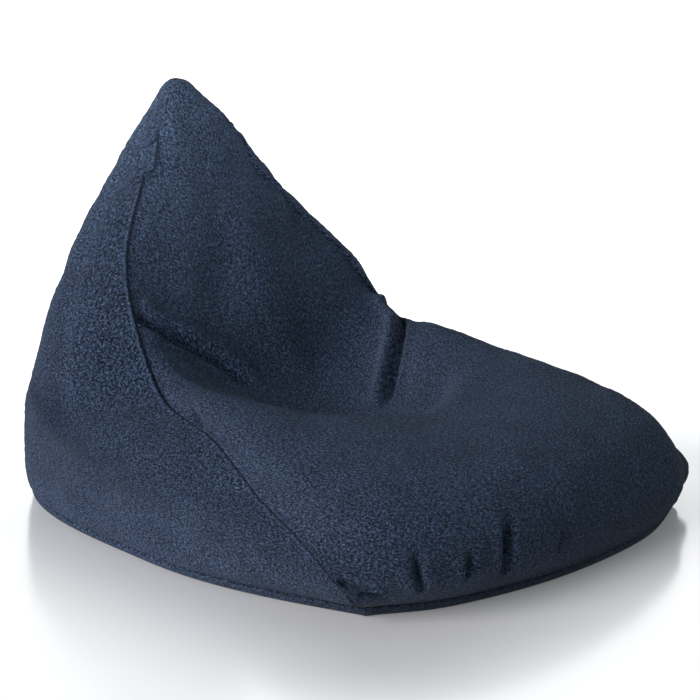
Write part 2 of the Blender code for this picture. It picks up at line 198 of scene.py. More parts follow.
def plainRows(piece, stations, shares):
    # the bag before any fabric movement, with the peak's cap above the last station
    last = bagForm["lastStation"]
    inside = np.minimum(stations, last)
    if piece == "seat":
        rows = seatRows(inside, shares)
    elif piece == "right":
        rows = sideRows(inside, shares, "right") * (-1, 1, 1)
    else:
        rows = sideRows(inside, 1 - shares, "left")
    peak = np.array(bagForm["peak"]) * unit + shiftY
    for k, station in enumerate(stations):
        if station > last:
            left = (bagForm["capStation"] - station) / (bagForm["capStation"] - last)
            rows[k, :, :2] = peak[:2] + (rows[k, :, :2] - peak[:2]) * left
            rows[k, :, 2] += (peak[2] - rows[k, :, 2]) * (1 - left ** bagForm["capFullness"])
    return rows


def gridNormals(points):
    normals = np.cross(np.gradient(points, axis=1), np.gradient(points, axis=0))
    length = np.linalg.norm(normals, axis=2, keepdims=True)
    return normals / np.maximum(length, 1e-12)


# The gap in the centre-back seam that the zip shows through.  first, last, turn, far and near are in stations
zipGap = {"first": 3.0, "last": 7.0, "half": 0.0065, "turn": 0.04, "flat": 0.026, "ease": 0.014,
          "far": 0.45, "near": 0.2}


def besideZip(points, stations):
    # 1 on the flat cloth beside the zip, 0 away from it
    first, last, far, near = (zipGap[key] for key in ("first", "last", "far", "near"))
    along = smoothStep(first - far, first - near, stations)
    along = along * (1 - smoothStep(last + near, last + far, stations))
    across = smoothStep(zipGap["flat"], zipGap["flat"] + zipGap["ease"], np.abs(points[..., 0]))
    return along[:, None] * (1 - across)


# Fabric filled out by the beads: one cloth simulation of the whole cover at a coarse spacing
filling = {
    "sideColumns": 62,
    "seatColumns": 66,
    "rows": 96,
    "lowStation": -1.0,
    "highStation": 9.5,
    "frames": 20,
    "pressure": 6.0,
    "startInside": 0.004,
    "mostMovement": 0.008,
    "seamShrink": 0.05,
    "spareCloth": -0.02,
    "around": 30,              # passes that average the cloth round each point
    "heldBelow": -0.6,
    "heldAbove": 9.2,
    "fadeIn": (0.0, 0.9),
    "fadeOut": (8.6, 9.3),
    "quality": 6,
    "mass": 0.02,
    "tension": 18,
    "compression": 12,
    "shear": 6,
    "bending": 0.6,
}


def neighbours(values, combine):
    # every value combined with the ones round it; the columns run round the bag
    padded = np.concatenate([values[:, -1:], values, values[:, :1]], 1)
    padded = np.concatenate([padded[:1], padded, padded[-1:]])
    parts = [padded[r:r + values.shape[0], c:c + values.shape[1]] for r in range(3) for c in range(3)]
    return combine(np.array(parts), axis=0)


def footRows(ring, stations):
    # rows below the base seam: rounded under, then flat towards the middle of the floor
    closed = np.concatenate([ring[-1:], ring, ring[:1]])
    along = (closed[2:] - closed[:-2])[:, :2]
    along /= np.maximum(np.linalg.norm(along, axis=1, keepdims=True), 1e-9)
    inward = np.stack([-along[:, 1], along[:, 0]], 1)
    for _ in range(10):
        inward = (np.roll(inward, 1, 0) + 2 * inward + np.roll(inward, -1, 0)) / 4
    rows = []
    for station in stations:
        bend = max(0.0, station + 1) * math.pi / 2
        row = ring.copy()
        row[:, :2] += inward * bagForm["baseRounding"] * (1 - math.sin(bend))
        if station < -1:
            row[:, :2] = shiftY[:2] + (row[:, :2] - shiftY[:2]) * (station + 2)
        row[:, 2] = bagForm["baseSeamHeight"] * (1 - math.cos(bend))
        rows.append(row)
    return np.array(rows)


def ringParts(sideShares, seatShares):
    # the pieces round the bag with their shares, from the centre back round the right side
    return (("right", sideShares), ("seat", seatShares), ("left", 1 - sideShares[::-1]))


def ringRows(stations, sideShares, seatShares):
    # whole rings from the centre back round the right side, the seat and the left side
    inside = np.maximum(stations, 0.0)
    rows = np.concatenate([plainRows(piece, inside, shares)[:, :-1]
                           for piece, shares in ringParts(sideShares, seatShares)], 1)
    below = stations < 0
    if below.any():
        rows[below] = footRows(ringRows(np.zeros(1), sideShares, seatShares)[0], stations[below])
    return rows


def gridFaces(rows, columns, closed=False, first=0):
    row = np.arange(rows - 1)[:, None]
    column = np.arange(columns if closed else columns - 1)[None, :]
    after = (column + 1) % columns
    a, b = first + row * columns + column, first + row * columns + after
    return np.stack([a, b, b + columns, a + columns], -1).reshape(-1, 4)


def addObject(name, data):
    item = bpy.data.objects.new(name, data)
    bpy.context.scene.collection.objects.link(item)
    return item


def fillStations():
    return np.linspace(filling["lowStation"], filling["highStation"], filling["rows"])


def simulateFilling():
    sideShares = np.linspace(0, 1, filling["sideColumns"] + 1)
    seatShares = np.linspace(0, 1, filling["seatColumns"] + 1)
    stations = fillStations()
    rings = ringRows(stations, sideShares, seatShares)
    rowCount, columnCount = rings.shape[:2]
    wrapped = np.concatenate([rings[:, -1:], rings, rings[:, :1]], 1)
    normals = gridNormals(wrapped)[:, 1:-1]
    mesh = bpy.data.meshes.new("filled_cover")
    start = (rings - normals * filling["startInside"]).reshape(-1, 3)
    mesh.from_pydata(start.tolist(), [], gridFaces(rowCount, columnCount, True).tolist())
    cloth = addObject("filled_cover", mesh)
    held = cloth.vertex_groups.new(name="held")
    sewn = cloth.vertex_groups.new(name="sewn")
    number = np.arange(rowCount * columnCount).reshape(rowCount, columnCount)
    ends = (stations < filling["heldBelow"]) | (stations > filling["heldAbove"])
    held.add(number[ends].ravel().tolist(), 1.0, "REPLACE")
    seamColumns = [0, filling["sideColumns"], filling["sideColumns"] + filling["seatColumns"]]
    sewn.add(number[:, seamColumns].ravel().tolist(), 1.0, "REPLACE")
    sewn.add(number[np.argmin(np.abs(stations))].tolist(), 1.0, "REPLACE")
    modifier = cloth.modifiers.new("cloth", "CLOTH")
    settings = modifier.settings
    settings.quality = filling["quality"]
    settings.mass = filling["mass"]
    for key in ("tension", "compression", "shear", "bending"):
        setattr(settings, key + "_stiffness", filling[key])
    settings.use_pressure = True
    settings.uniform_pressure_force = filling["pressure"]
    settings.vertex_group_mass = "held"
    settings.vertex_group_shrink = "sewn"
    settings.shrink_min = filling["spareCloth"]
    settings.shrink_max = filling["seamShrink"]
    settings.effector_weights.gravity = 0
    modifier.collision_settings.use_collision = False
    modifier.point_cache.frame_start = 1
    modifier.point_cache.frame_end = filling["frames"]
    scene = bpy.context.scene
    for step in range(1, filling["frames"] + 1):
        scene.frame_set(step)
    evaluated = cloth.evaluated_get(bpy.context.evaluated_depsgraph_get())
    moved = np.empty(len(start) * 3)
    evaluated.data.vertices.foreach_get("co", moved)
    scene.frame_set(1)
    shift = moved.reshape(-1, 3) - rings.reshape(-1, 3)
    # the bag keeps its form: what stays is each point's movement beyond that of the cloth round it
    out = np.sum(shift * normals.reshape(-1, 3), axis=1).reshape(rowCount, columnCount)
    around = out
    for _ in range(filling["around"]):
        around = neighbours(around, np.mean)
    shift -= normals.reshape(-1, 3) * around.reshape(-1, 1)
    size = np.linalg.norm(shift, axis=1, keepdims=True)
    most = filling["mostMovement"]
    shift *= most * np.tanh(size / most) / np.maximum(size, 1e-9)
    shift = neighbours(shift.reshape(rowCount, columnCount, 3), np.mean)
    fade = smoothStep(*filling["fadeIn"], stations) * (1 - smoothStep(*filling["fadeOut"], stations))
    shift *= fade[:, None, None]
    bpy.data.objects.remove(cloth, do_unlink=True)
    bpy.data.meshes.remove(mesh)
    print("filling: moved", round(float(size.mean()) * 1000, 1), "mm beyond its surroundings")
    return shift


def fillingParts(shift):
    side, seat = filling["sideColumns"], filling["seatColumns"]
    return {"right": shift[:, :side + 1], "seat": shift[:, side:side + seat + 1],
            "left": np.concatenate([shift[:, side + seat:], shift[:, :1]], 1)}


fillingShift = fillingParts(simulateFilling())


def filledRows(piece, stations, shares):
    # the bag's surface with the simulated movement added
    rows = plainRows(piece, stations, shares)
    if fillingShift is not None:
        field = fillingShift[piece]
        place = np.interp(stations, fillStations(), np.arange(filling["rows"]))
        shift = smoothAlong(field, place)
        shift = smoothAlong(shift.transpose(1, 0, 2), shares * (field.shape[1] - 1)).transpose(1, 0, 2)
        inside = (stations > filling["lowStation"]) & (stations < filling["highStation"])
        if piece != "seat":
            shift *= 1 - besideZip(rows, stations)[..., None]
        rows += shift * inside[:, None, None]
    return rows


def pathPoints(piece, path, count=120):
    # a smooth path over a piece, given as (station, share) points, in metres
    place = smoothAlong(np.array(path), np.linspace(0, len(path) - 1, count))
    return np.array([filledRows(piece, place[k:k + 1, 0], place[k:k + 1, 1])[0, 0] for k in range(count)])


# Folds and hollows that the cloth lies in.  Places are (station, share) on a piece.
# depth and rise in metres; width is how far across the fold the cloth falls in.
foldList = [
    {"name": "backrest_fold_right", "piece": "seat", "depth": 0.022, "width": 0.013,
     "fadeIn": 0.05, "fadeOut": 0.45,
     "path": [(6.22, 0.005), (6.30, 0.10), (6.31, 0.20), (6.24, 0.30), (6.00, 0.39)],
     "riseLeft": (0.014, 0.034, 0.022), "riseRight": (0.006, 0.026, 0.015)},
    {"name": "backrest_fold_left", "piece": "seat", "depth": 0.030, "width": 0.0085,
     "fadeIn": 0.10, "fadeOut": 0.30,
     "path": [(5.46, 0.999), (5.42, 0.88), (5.36, 0.76), (5.30, 0.66), (5.14, 0.53)],
     "riseRight": (0.017, 0.022, 0.015), "riseLeft": (-0.010, 0.030, 0.024)},
    {"name": "far_side_fold", "piece": "left", "depth": 0.009, "width": 0.010,
     "fadeIn": 0.35, "fadeOut": 0.10,
     "path": [(5.26, 0.14), (5.36, 0.07), (5.46, 0.001)]},
    {"name": "front_rim", "piece": "seat", "depth": -0.007, "width": 0.032, "fadeIn": 0.15, "fadeOut": 0.25,
     "path": [(5.05, 0.02), (4.85, 0.10), (4.55, 0.20), (4.25, 0.34), (4.15, 0.50), (4.2, 0.64), (4.4, 0.78)],
     "riseLeft": (-0.012, 0.060, 0.030)},
    {"name": "short_fold", "piece": "seat", "depth": 0.009, "width": 0.008,
     "path": [(4.78, 0.040), (4.60, 0.030), (4.30, 0.010)], "riseLeft": (0.003, 0.014, 0.008)},
    {"name": "pleat_1", "piece": "seat", "depth": 0.022, "width": 0.0080, "fadeIn": 0.5, "fadeOut": 0.2,
     "path": [(1.62, 0.165), (1.25, 0.143), (0.70, 0.122)], "riseRight": (0.005, 0.018, 0.010),
     "riseLeft": (0.003, 0.020, 0.010)},
    {"name": "pleat_2", "piece": "seat", "depth": 0.020, "width": 0.0080, "fadeIn": 0.5, "fadeOut": 0.3,
     "path": [(1.42, 0.258), (1.10, 0.238), (0.70, 0.215)], "riseRight": (0.004, 0.017, 0.010),
     "riseLeft": (0.004, 0.017, 0.010)},
    {"name": "pleat_3", "piece": "seat", "depth": 0.034, "width": 0.0100, "fadeIn": 0.55, "fadeOut": 0.15,
     "path": [(1.85, 0.368), (1.30, 0.335), (0.60, 0.305)], "riseRight": (0.007, 0.021, 0.012),
     "riseLeft": (0.005, 0.022, 0.012)},
    {"name": "pleat_4", "piece": "seat", "depth": 0.008, "width": 0.0085, "fadeIn": 0.5, "fadeOut": 0.3,
     "path": [(1.45, 0.475), (1.10, 0.462), (0.60, 0.440)]},
    {"name": "corner_pucker", "piece": "seat", "depth": 0.019, "width": 0.0080,
     "fadeIn": 0.15, "fadeOut": 0.5,
     "path": [(1.36, 0.004), (1.15, 0.030), (0.95, 0.060)], "riseLeft": (0.004, 0.016, 0.009)},
    {"name": "corner_crease", "piece": "seat", "depth": 0.013, "width": 0.0075, "fadeIn": 0.2, "fadeOut": 0.5,
     "path": [(0.95, 0.010), (0.80, 0.045), (0.72, 0.085)], "riseLeft": (0.003, 0.014, 0.008)},
]
dentList = [
    {"name": "upper_notch", "piece": "seat", "at": (7.75, 0.975), "to": (7.50, 0.93), "depth": 0.015,
     "long": 0.050, "wide": 0.024},
    {"name": "middle_notch", "piece": "seat", "at": (7.05, 0.96), "to": (6.75, 0.82), "depth": 0.015,
     "long": 0.080, "wide": 0.030},
    {"name": "lower_dent", "piece": "seat", "at": (5.90, 0.94), "to": (5.75, 0.80), "depth": 0.004,
     "long": 0.060, "wide": 0.026},
    {"name": "upper_swell", "piece": "seat", "at": (8.30, 0.30), "to": (7.60, 0.34), "depth": -0.008,
     "long": 0.110, "wide": 0.050},
    {"name": "back_swell", "piece": "seat", "at": (7.20, 0.60), "to": (6.60, 0.50), "depth": -0.010,
     "long": 0.130, "wide": 0.055},
    {"name": "back_dip", "piece": "seat", "at": (7.30, 0.36), "to": (6.60, 0.28), "depth": 0.007,
     "long": 0.120, "wide": 0.040},
    {"name": "lower_swell", "piece": "seat", "at": (5.95, 0.16), "to": (5.80, 0.30), "depth": -0.010,
     "long": 0.090, "wide": 0.030},
    {"name": "rear_dip", "piece": "left", "at": (3.9, 0.35), "to": (3.6, 0.2), "depth": 0.010,
     "long": 0.060, "wide": 0.028},
    {"name": "side_dip", "piece": "right", "at": (3.4, 0.80), "to": (2.4, 0.86), "depth": 0.008,
     "long": 0.120, "wide": 0.045},
]


# which pieces' folds reach onto each piece
spread = {"right": ("right", "seat"), "seat": ("right", "seat", "left"), "left": ("seat", "left")}


# how far from a line its relief reaches, and the distance given to what lies beyond
measuring = {"seam": 0.06, "foot": 0.05, "fold": 0.12, "beyond": 9.0}


class Curve:
    # a dense line in space that distances are measured from
    def __init__(self, points, spacing=0.0008):
        lengths = np.concatenate([[0], np.cumsum(np.linalg.norm(np.diff(points, axis=0), axis=1))])
        count = max(2, int(lengths[-1] / spacing))
        place = np.linspace(0, lengths[-1], count)
        self.length = lengths[-1]
        self.points = np.stack([np.interp(place, lengths, points[:, k]) for k in range(3)], 1)
        self.place = place
        self.tree = kdtree.KDTree(count)
        for k, point in enumerate(self.points):
            self.tree.insert(point, k)
        self.tree.balance()

    def measure(self, points, within):
        # distance to the line and number of its nearest point, for every point that lies within
        flat = points.reshape(-1, 3)
        low, high = self.points.min(0) - within, self.points.max(0) + within
        near = np.nonzero(((flat > low) & (flat < high)).all(1))[0]
        distance = np.full(len(flat), measuring["beyond"])
        index = np.zeros(len(flat), int)
        find = self.tree.find
        for k in near:
            _, index[k], distance[k] = find(flat[k])
        shape = points.shape[:-1]
        return distance.reshape(shape), index.reshape(shape)


def seamCurves():
    # every seam of the cover as a line in space
    hood = bagForm["hoodStation"]
    rise = np.linspace(0, hood, 400)
    across = np.linspace(0, 1, 300)
    one, zero = np.ones(1), np.zeros(1)
    curves = {
        "right": filledRows("seat", rise, zero)[:, 0],
        "left": filledRows("seat", rise, one)[:, 0],
        "back": filledRows("right", rise, zero)[:, 0],
        "hood": np.concatenate([filledRows("left", np.array([hood]), across)[0],
                                filledRows("right", np.array([hood]), across)[0][1:]]),
        "base": np.concatenate([filledRows(piece, zero, across)[0] for piece in ("right", "seat", "left")]),
    }
    return {name: Curve(points) for name, points in curves.items()}


seams = seamCurves()
for fold in foldList:
    fold["curve"] = Curve(pathPoints(fold["piece"], fold["path"]))
for dent in dentList:
    ends = pathPoints(dent["piece"], [dent["at"], dent["to"]], 2)
    dent["centre"] = ends[0]
    dent["along"] = (ends[1] - ends[0]) / np.linalg.norm(ends[1] - ends[0])

# How each panel's cloth runs into a seam: it sinks in a narrow crack, stands proud in a lip
# and falls in a wide valley
edgeLooks = {
    "seatSide": {"sink": 0.0050, "crack": 0.0022, "lip": 0.0008, "lipAt": 0.010, "lipWidth": 0.006,
                 "valley": 0.0050, "valleyWidth": 0.017},
    "sideSeat": {"sink": 0.0080, "crack": 0.0022, "lip": 0.0056, "lipAt": 0.0052, "lipWidth": 0.0036,
                 "valley": 0.0024, "valleyWidth": 0.022},
    "hood": {"sink": 0.0008, "crack": 0.0016, "lip": 0.0, "lipAt": 0.007, "lipWidth": 0.005,
             "valley": 0.0006, "valleyWidth": 0.012},
    "base": {"sink": 0.0012, "crack": 0.0016, "lip": 0.0003, "lipAt": 0.008, "lipWidth": 0.006,
             "valley": 0.0008, "valleyWidth": 0.012},
    "back": {"sink": 0.0030, "crack": 0.0016, "lip": 0.0006, "lipAt": 0.007, "lipWidth": 0.005,
             "valley": 0.0020, "valleyWidth": 0.016},
}
panelEdges = {
    "seat": {"right": "seatSide", "left": "seatSide", "base": "base"},
    "right": {"right": "sideSeat", "hood": "hood", "base": "base", "back": "back"},
    "left": {"left": "sideSeat", "hood": "hood", "base": "base", "back": "back"},
    "hood": {"hood": "hood"},
}


# the valleys pucker along a seam: how much, and the lengths of the waves
puckers = {"share": 0.25, "short": 0.013, "drift": 0.047, "long": 0.031}

# the side seams are pulled in beside the backrest and lie nearly flat below it
pullIn = {"least": 0.4, "from": 0.24, "to": 0.29}


def edgeRelief(points, panel):
    relief = np.zeros(points.shape[:-1])
    for seam, look in panelEdges[panel].items():
        look = edgeLooks[look]
        distance, place = seams[seam].measure(points, measuring["seam"])
        run = seams[seam].place[place]
        wave = np.sin(run / puckers["short"] + 2 * np.sin(run / puckers["drift"]))
        pucker = 1 + puckers["share"] * wave * np.sin(run / puckers["long"])
        valley = look["valley"] * np.exp(-(distance / look["valleyWidth"]) ** 2) * pucker
        crack = look["sink"] * np.exp(-(distance / look["crack"]) ** 2)
        lip = look["lip"] * np.exp(-((distance - look["lipAt"]) / look["lipWidth"]) ** 2)
        drawn = seamPull(seams[seam].points[place][..., 2]) if seam in ("right", "left") else 1.0
        relief += np.where(distance < measuring["beyond"], (lip - crack - valley) * drawn, 0)
    return relief


def seamPull(height):
    return pullIn["least"] + (1 - pullIn["least"]) * smoothStep(pullIn["from"], pullIn["to"], height)


def foldRelief(points, normals, piece, wider=0.0):
    # the folds and hollows as heights along the normal
    relief = np.zeros(points.shape[:-1])
    for fold in foldList:
        if piece not in spread[fold["piece"]]:
            continue
        curve = fold["curve"]
        distance, index = curve.measure(points, measuring["fold"])
        run = curve.place[index] / curve.length
        ends = smoothStep(0, fold.get("fadeIn", 0.3), run)
        ends = ends * (1 - smoothStep(1 - fold.get("fadeOut", 0.3), 1, run))
        tangent = np.gradient(curve.points, axis=0)[index]
        offset = points - curve.points[index]
        side = np.sign(np.sum(np.cross(tangent, normals) * offset, -1))
        grow = fold["width"] + wider
        groove = -fold["depth"] * np.exp(-(distance / grow) ** 2)
        for sign, key in ((1, "riseRight"), (-1, "riseLeft")):
            rise = fold.get(key)
            if rise:
                height, at, wide = rise
                groove += (side == sign) * height * np.exp(-((distance - at) / wide) ** 2)
        relief += np.where(distance < measuring["beyond"], groove * ends, 0)
    for dent in dentList:
        if piece not in spread[dent["piece"]]:
            continue
        offset = points - dent["centre"]
        along = offset @ dent["along"]
        rest = np.sqrt(np.maximum(0, np.sum(offset ** 2, -1) - along ** 2))
        relief -= dent["depth"] * np.exp(-(along / dent["long"]) ** 2 - (rest / dent["wide"]) ** 2)
    return relief


# Soft lumps of the beads under the cloth
lumps = [{"size": 0.11, "height": 0.0045}, {"size": 0.045, "height": 0.0014},
         {"size": 0.0095, "height": 0.0015}]


def lumpRelief(points):
    flat = points.reshape(-1, 3)
    relief = np.zeros(len(flat))
    for lump in lumps:
        scaled = flat / lump["size"]
        relief += lump["height"] * np.array([noise.noise(Vector(p)) for p in scaled])
    return relief.reshape(points.shape[:-1])


# How the panels meet: depth of the seam, width of the cloth drawn to it, the strip its normal is taken from
sewing = {"depth": 0.0085, "width": 0.006, "strip": (0.0, 0.006, 0.012), "free": 0.4, "ends": 0.3}
sewnColumns = {"right": [("right", -1)], "left": [("left", 0)], "seat": [("right", 0), ("left", -1)]}


def coverRows(piece, stations, shares, panel=None):
    # the finished outer surface of a piece of the cover
    rows = filledRows(piece, stations, shares)
    normals = gridNormals(rows)
    free = smoothStep(0.0, sewing["free"], stations)[:, None]
    height = edgeRelief(rows, panel or piece) + free * (foldRelief(rows, normals, piece) + lumpRelief(rows))
    if piece != "seat":
        height *= 1 - besideZip(rows, stations)
    rows = rows + normals * height[..., None]
    for side, column in sewnColumns[piece]:
        sewTogether(rows, stations, side, column)
    return rows


def sewnLine(stations, side):
    # where the seat and a side panel meet: sunk by the same depth along the mean of their two normals
    strip = np.array(sewing["strip"])
    seat = filledRows("seat", stations, strip if side == "right" else 1 - strip[::-1])
    panel = filledRows(side, stations, 1 - strip[::-1] if side == "right" else strip)
    first, last = (0, -1) if side == "right" else (-1, 0)
    normal = gridNormals(seat)[:, first] + gridNormals(panel)[:, last]
    normal /= np.linalg.norm(normal, axis=1, keepdims=True)
    line = seat[:, first]
    free = smoothStep(0.0, sewing["free"], stations)
    height = free * (foldRelief(line, normal, "seat") + lumpRelief(line))
    height = height - sewing["depth"] * seamPull(line[:, 2])
    return line + normal * height[:, None]


def sewTogether(rows, stations, side, column):
    gap = sewnLine(stations, side) - rows[:, column]
    hood, ends = bagForm["hoodStation"], sewing["ends"]
    gap *= (smoothStep(0.0, ends, stations) * (1 - smoothStep(hood, hood + ends, stations)))[:, None]
    away = np.linalg.norm(rows - rows[:, column][:, None], axis=2)
    rows += gap[:, None] * np.exp(-(away / sewing["width"]) ** 2)[..., None]


def spaced(count, nearStart, nearEnd, width=0.02):
    # shares from 0 to 1 that lie closer together near an end
    x = np.linspace(0, 1, 2001)
    density = 1 + nearStart * np.exp(-x / width) + nearEnd * np.exp(-(1 - x) / width)
    total = np.concatenate([[0], np.cumsum((density[1:] + density[:-1]) / 2)])
    shares = np.interp(np.linspace(0, total[-1], count), total, x)
    shares[0], shares[-1] = 0, 1
    return shares


def evenStations(piece, low, high, count, nearStart=0.0, nearEnd=0.0):
    # stations whose rows lie evenly over the surface
    stations = np.linspace(low, high, 400)
    rows = plainRows(piece, stations, np.linspace(0.05, 0.95, 9))
    step = np.linalg.norm(np.diff(rows, axis=0), axis=2).mean(1)
    total = np.concatenate([[0], np.cumsum(step)])
    return np.interp(spaced(count, nearStart, nearEnd) * total[-1], total, stations)


def arcPlaces(rows, axis):
    # distance along each row or column from its start
    step = np.linalg.norm(np.diff(rows, axis=axis), axis=2)
    zero = np.zeros_like(step[:, :1] if axis == 1 else step[:1])
    return np.concatenate([zero, np.cumsum(step, axis=axis)], axis=axis)


def clothPlaces(rows):
    # flat coordinates of the cloth in metres: across from the middle of each row, and up
    across = arcPlaces(rows, 1)
    across = across - across[:, -1:] / 2
    up = np.repeat(arcPlaces(rows, 0).mean(1, keepdims=True), rows.shape[1], 1)
    return np.stack([across, up], -1)


def weld(points, faces, places):
    # one vertex for each place in space
    key = np.round(points / 1e-6).astype(np.int64)
    _, first, number = np.unique(key, axis=0, return_index=True, return_inverse=True)
    faces = number.reshape(-1)[faces]
    kept = []
    for face in faces.tolist():
        corners = [v for k, v in enumerate(face) if v != face[k - 1]]
        if len(corners) > 2:
            kept.append(corners)
    return points[first], kept, places[first]


def faceNormalsAt(points, faces):
    # vertex normals of a welded surface
    normals = np.zeros_like(points)
    for size in (3, 4):
        some = np.array([f for f in faces if len(f) == size])
        if len(some):
            first, second = points[some[:, 2]] - points[some[:, 0]], points[some[:, -1]] - points[some[:, 1]]
            cross = np.cross(first, second)
            for k in range(size):
                np.add.at(normals, some[:, k], cross)
    return normals / np.maximum(np.linalg.norm(normals, axis=1, keepdims=True), 1e-12)


def boundaryPairs(faces):
    pairs = {(face[k - 1], face[k]) for face in faces for k in range(len(face))}
    return [pair for pair in pairs if (pair[1], pair[0]) not in pairs]


def clothShell(name, points, faces, places, thickness, material):
    # a closed sheet of cloth: outer face, inner face and edge
    normals = faceNormalsAt(points, faces)
    count = len(points)
    rim = sorted(boundaryPairs(faces))
    allPoints = np.concatenate([points, points - normals * thickness])
    allFaces = faces + [[v + count for v in reversed(face)] for face in faces]
    allFaces += [[b, a, a + count, b + count] for a, b in rim]
    return clothObject(name, allPoints, allFaces, np.concatenate([places, places]), material)


def clothObject(name, points, faces, places, material):
    mesh = bpy.data.meshes.new(name)
    mesh.from_pydata(points.tolist(), [], faces)
    layer = mesh.uv_layers.new(name="cloth")
    corners = np.empty(len(mesh.loops), int)
    mesh.loops.foreach_get("vertex_index", corners)
    layer.data.foreach_set("uv", places[corners].ravel())
    mesh.shade_smooth()
    mesh.materials.append(material)
    return addObject(name, mesh)


def linearColour(text):
    # an sRGB hex colour as linear red, green, blue and alpha
    parts = [int(text[k:k + 2], 16) / 255 for k in (1, 3, 5)]
    return tuple(c / 12.92 if c <= 0.04045 else ((c + 0.055) / 1.055) ** 2.4 for c in parts) + (1.0,)


def addNode(tree, kind, settings=None, links=None, values=None):
    # one node: settings on the node, values on its inputs, links from (node, output) into its inputs
    node = tree.nodes.new(kind)
    for key, value in (settings or {}).items():
        setattr(node, key, value)
    for key, value in (values or {}).items():
        node.inputs[key].default_value = value
    for key, (source, output) in (links or {}).items():
        tree.links.new(source.outputs[output], node.inputs[key])
    return node


def newMaterial(name):
    material = bpy.data.materials.new(name)
    material.use_nodes = True
    return material, material.node_tree


def mapRange(tree, source, low, high, toLow, toHigh, kind="LINEAR"):
    # a (node, output) brought from one range to another
    return addNode(tree, "ShaderNodeMapRange", {"interpolation_type": kind}, {"Value": source},
                   {"From Min": low, "From Max": high, "To Min": toLow, "To Max": toHigh})


def bumped(tree, source, strength, distance):
    return addNode(tree, "ShaderNodeBump", None, {"Height": source},
                   {"Strength": strength, "Distance": distance})


def intoShader(tree, links, values):
    # sets the Principled shader's inputs: links from (node, output), and plain values
    shader = tree.nodes["Principled BSDF"]
    for key, (source, output) in links.items():
        tree.links.new(source.outputs[output], shader.inputs[key])
    for key, value in values.items():
        shader.inputs[key].default_value = value


boucle = {
    # gap and tip: painted shade deep between the curls and painted light on their tops, over the yarn's navy tone
    "gap": "#080f1a",
    "body": "#1e2f46",
    "tip": "#566988",
    "sheen": "#98a5b8",
    "curl": 0.0042,        # across one curl of the yarn
    "strand": 0.0016,      # the yarn's own strands
    "relief": 0.0042,
    "patch": 0.09,         # where the pile lies one way
    "lowFrontShade": 0.62,      # painted shade: how much darker the colour is made low on the front
    "lowTop": 0.24,        # height where that ends
    "frontAt": (-0.05, -0.45),
}


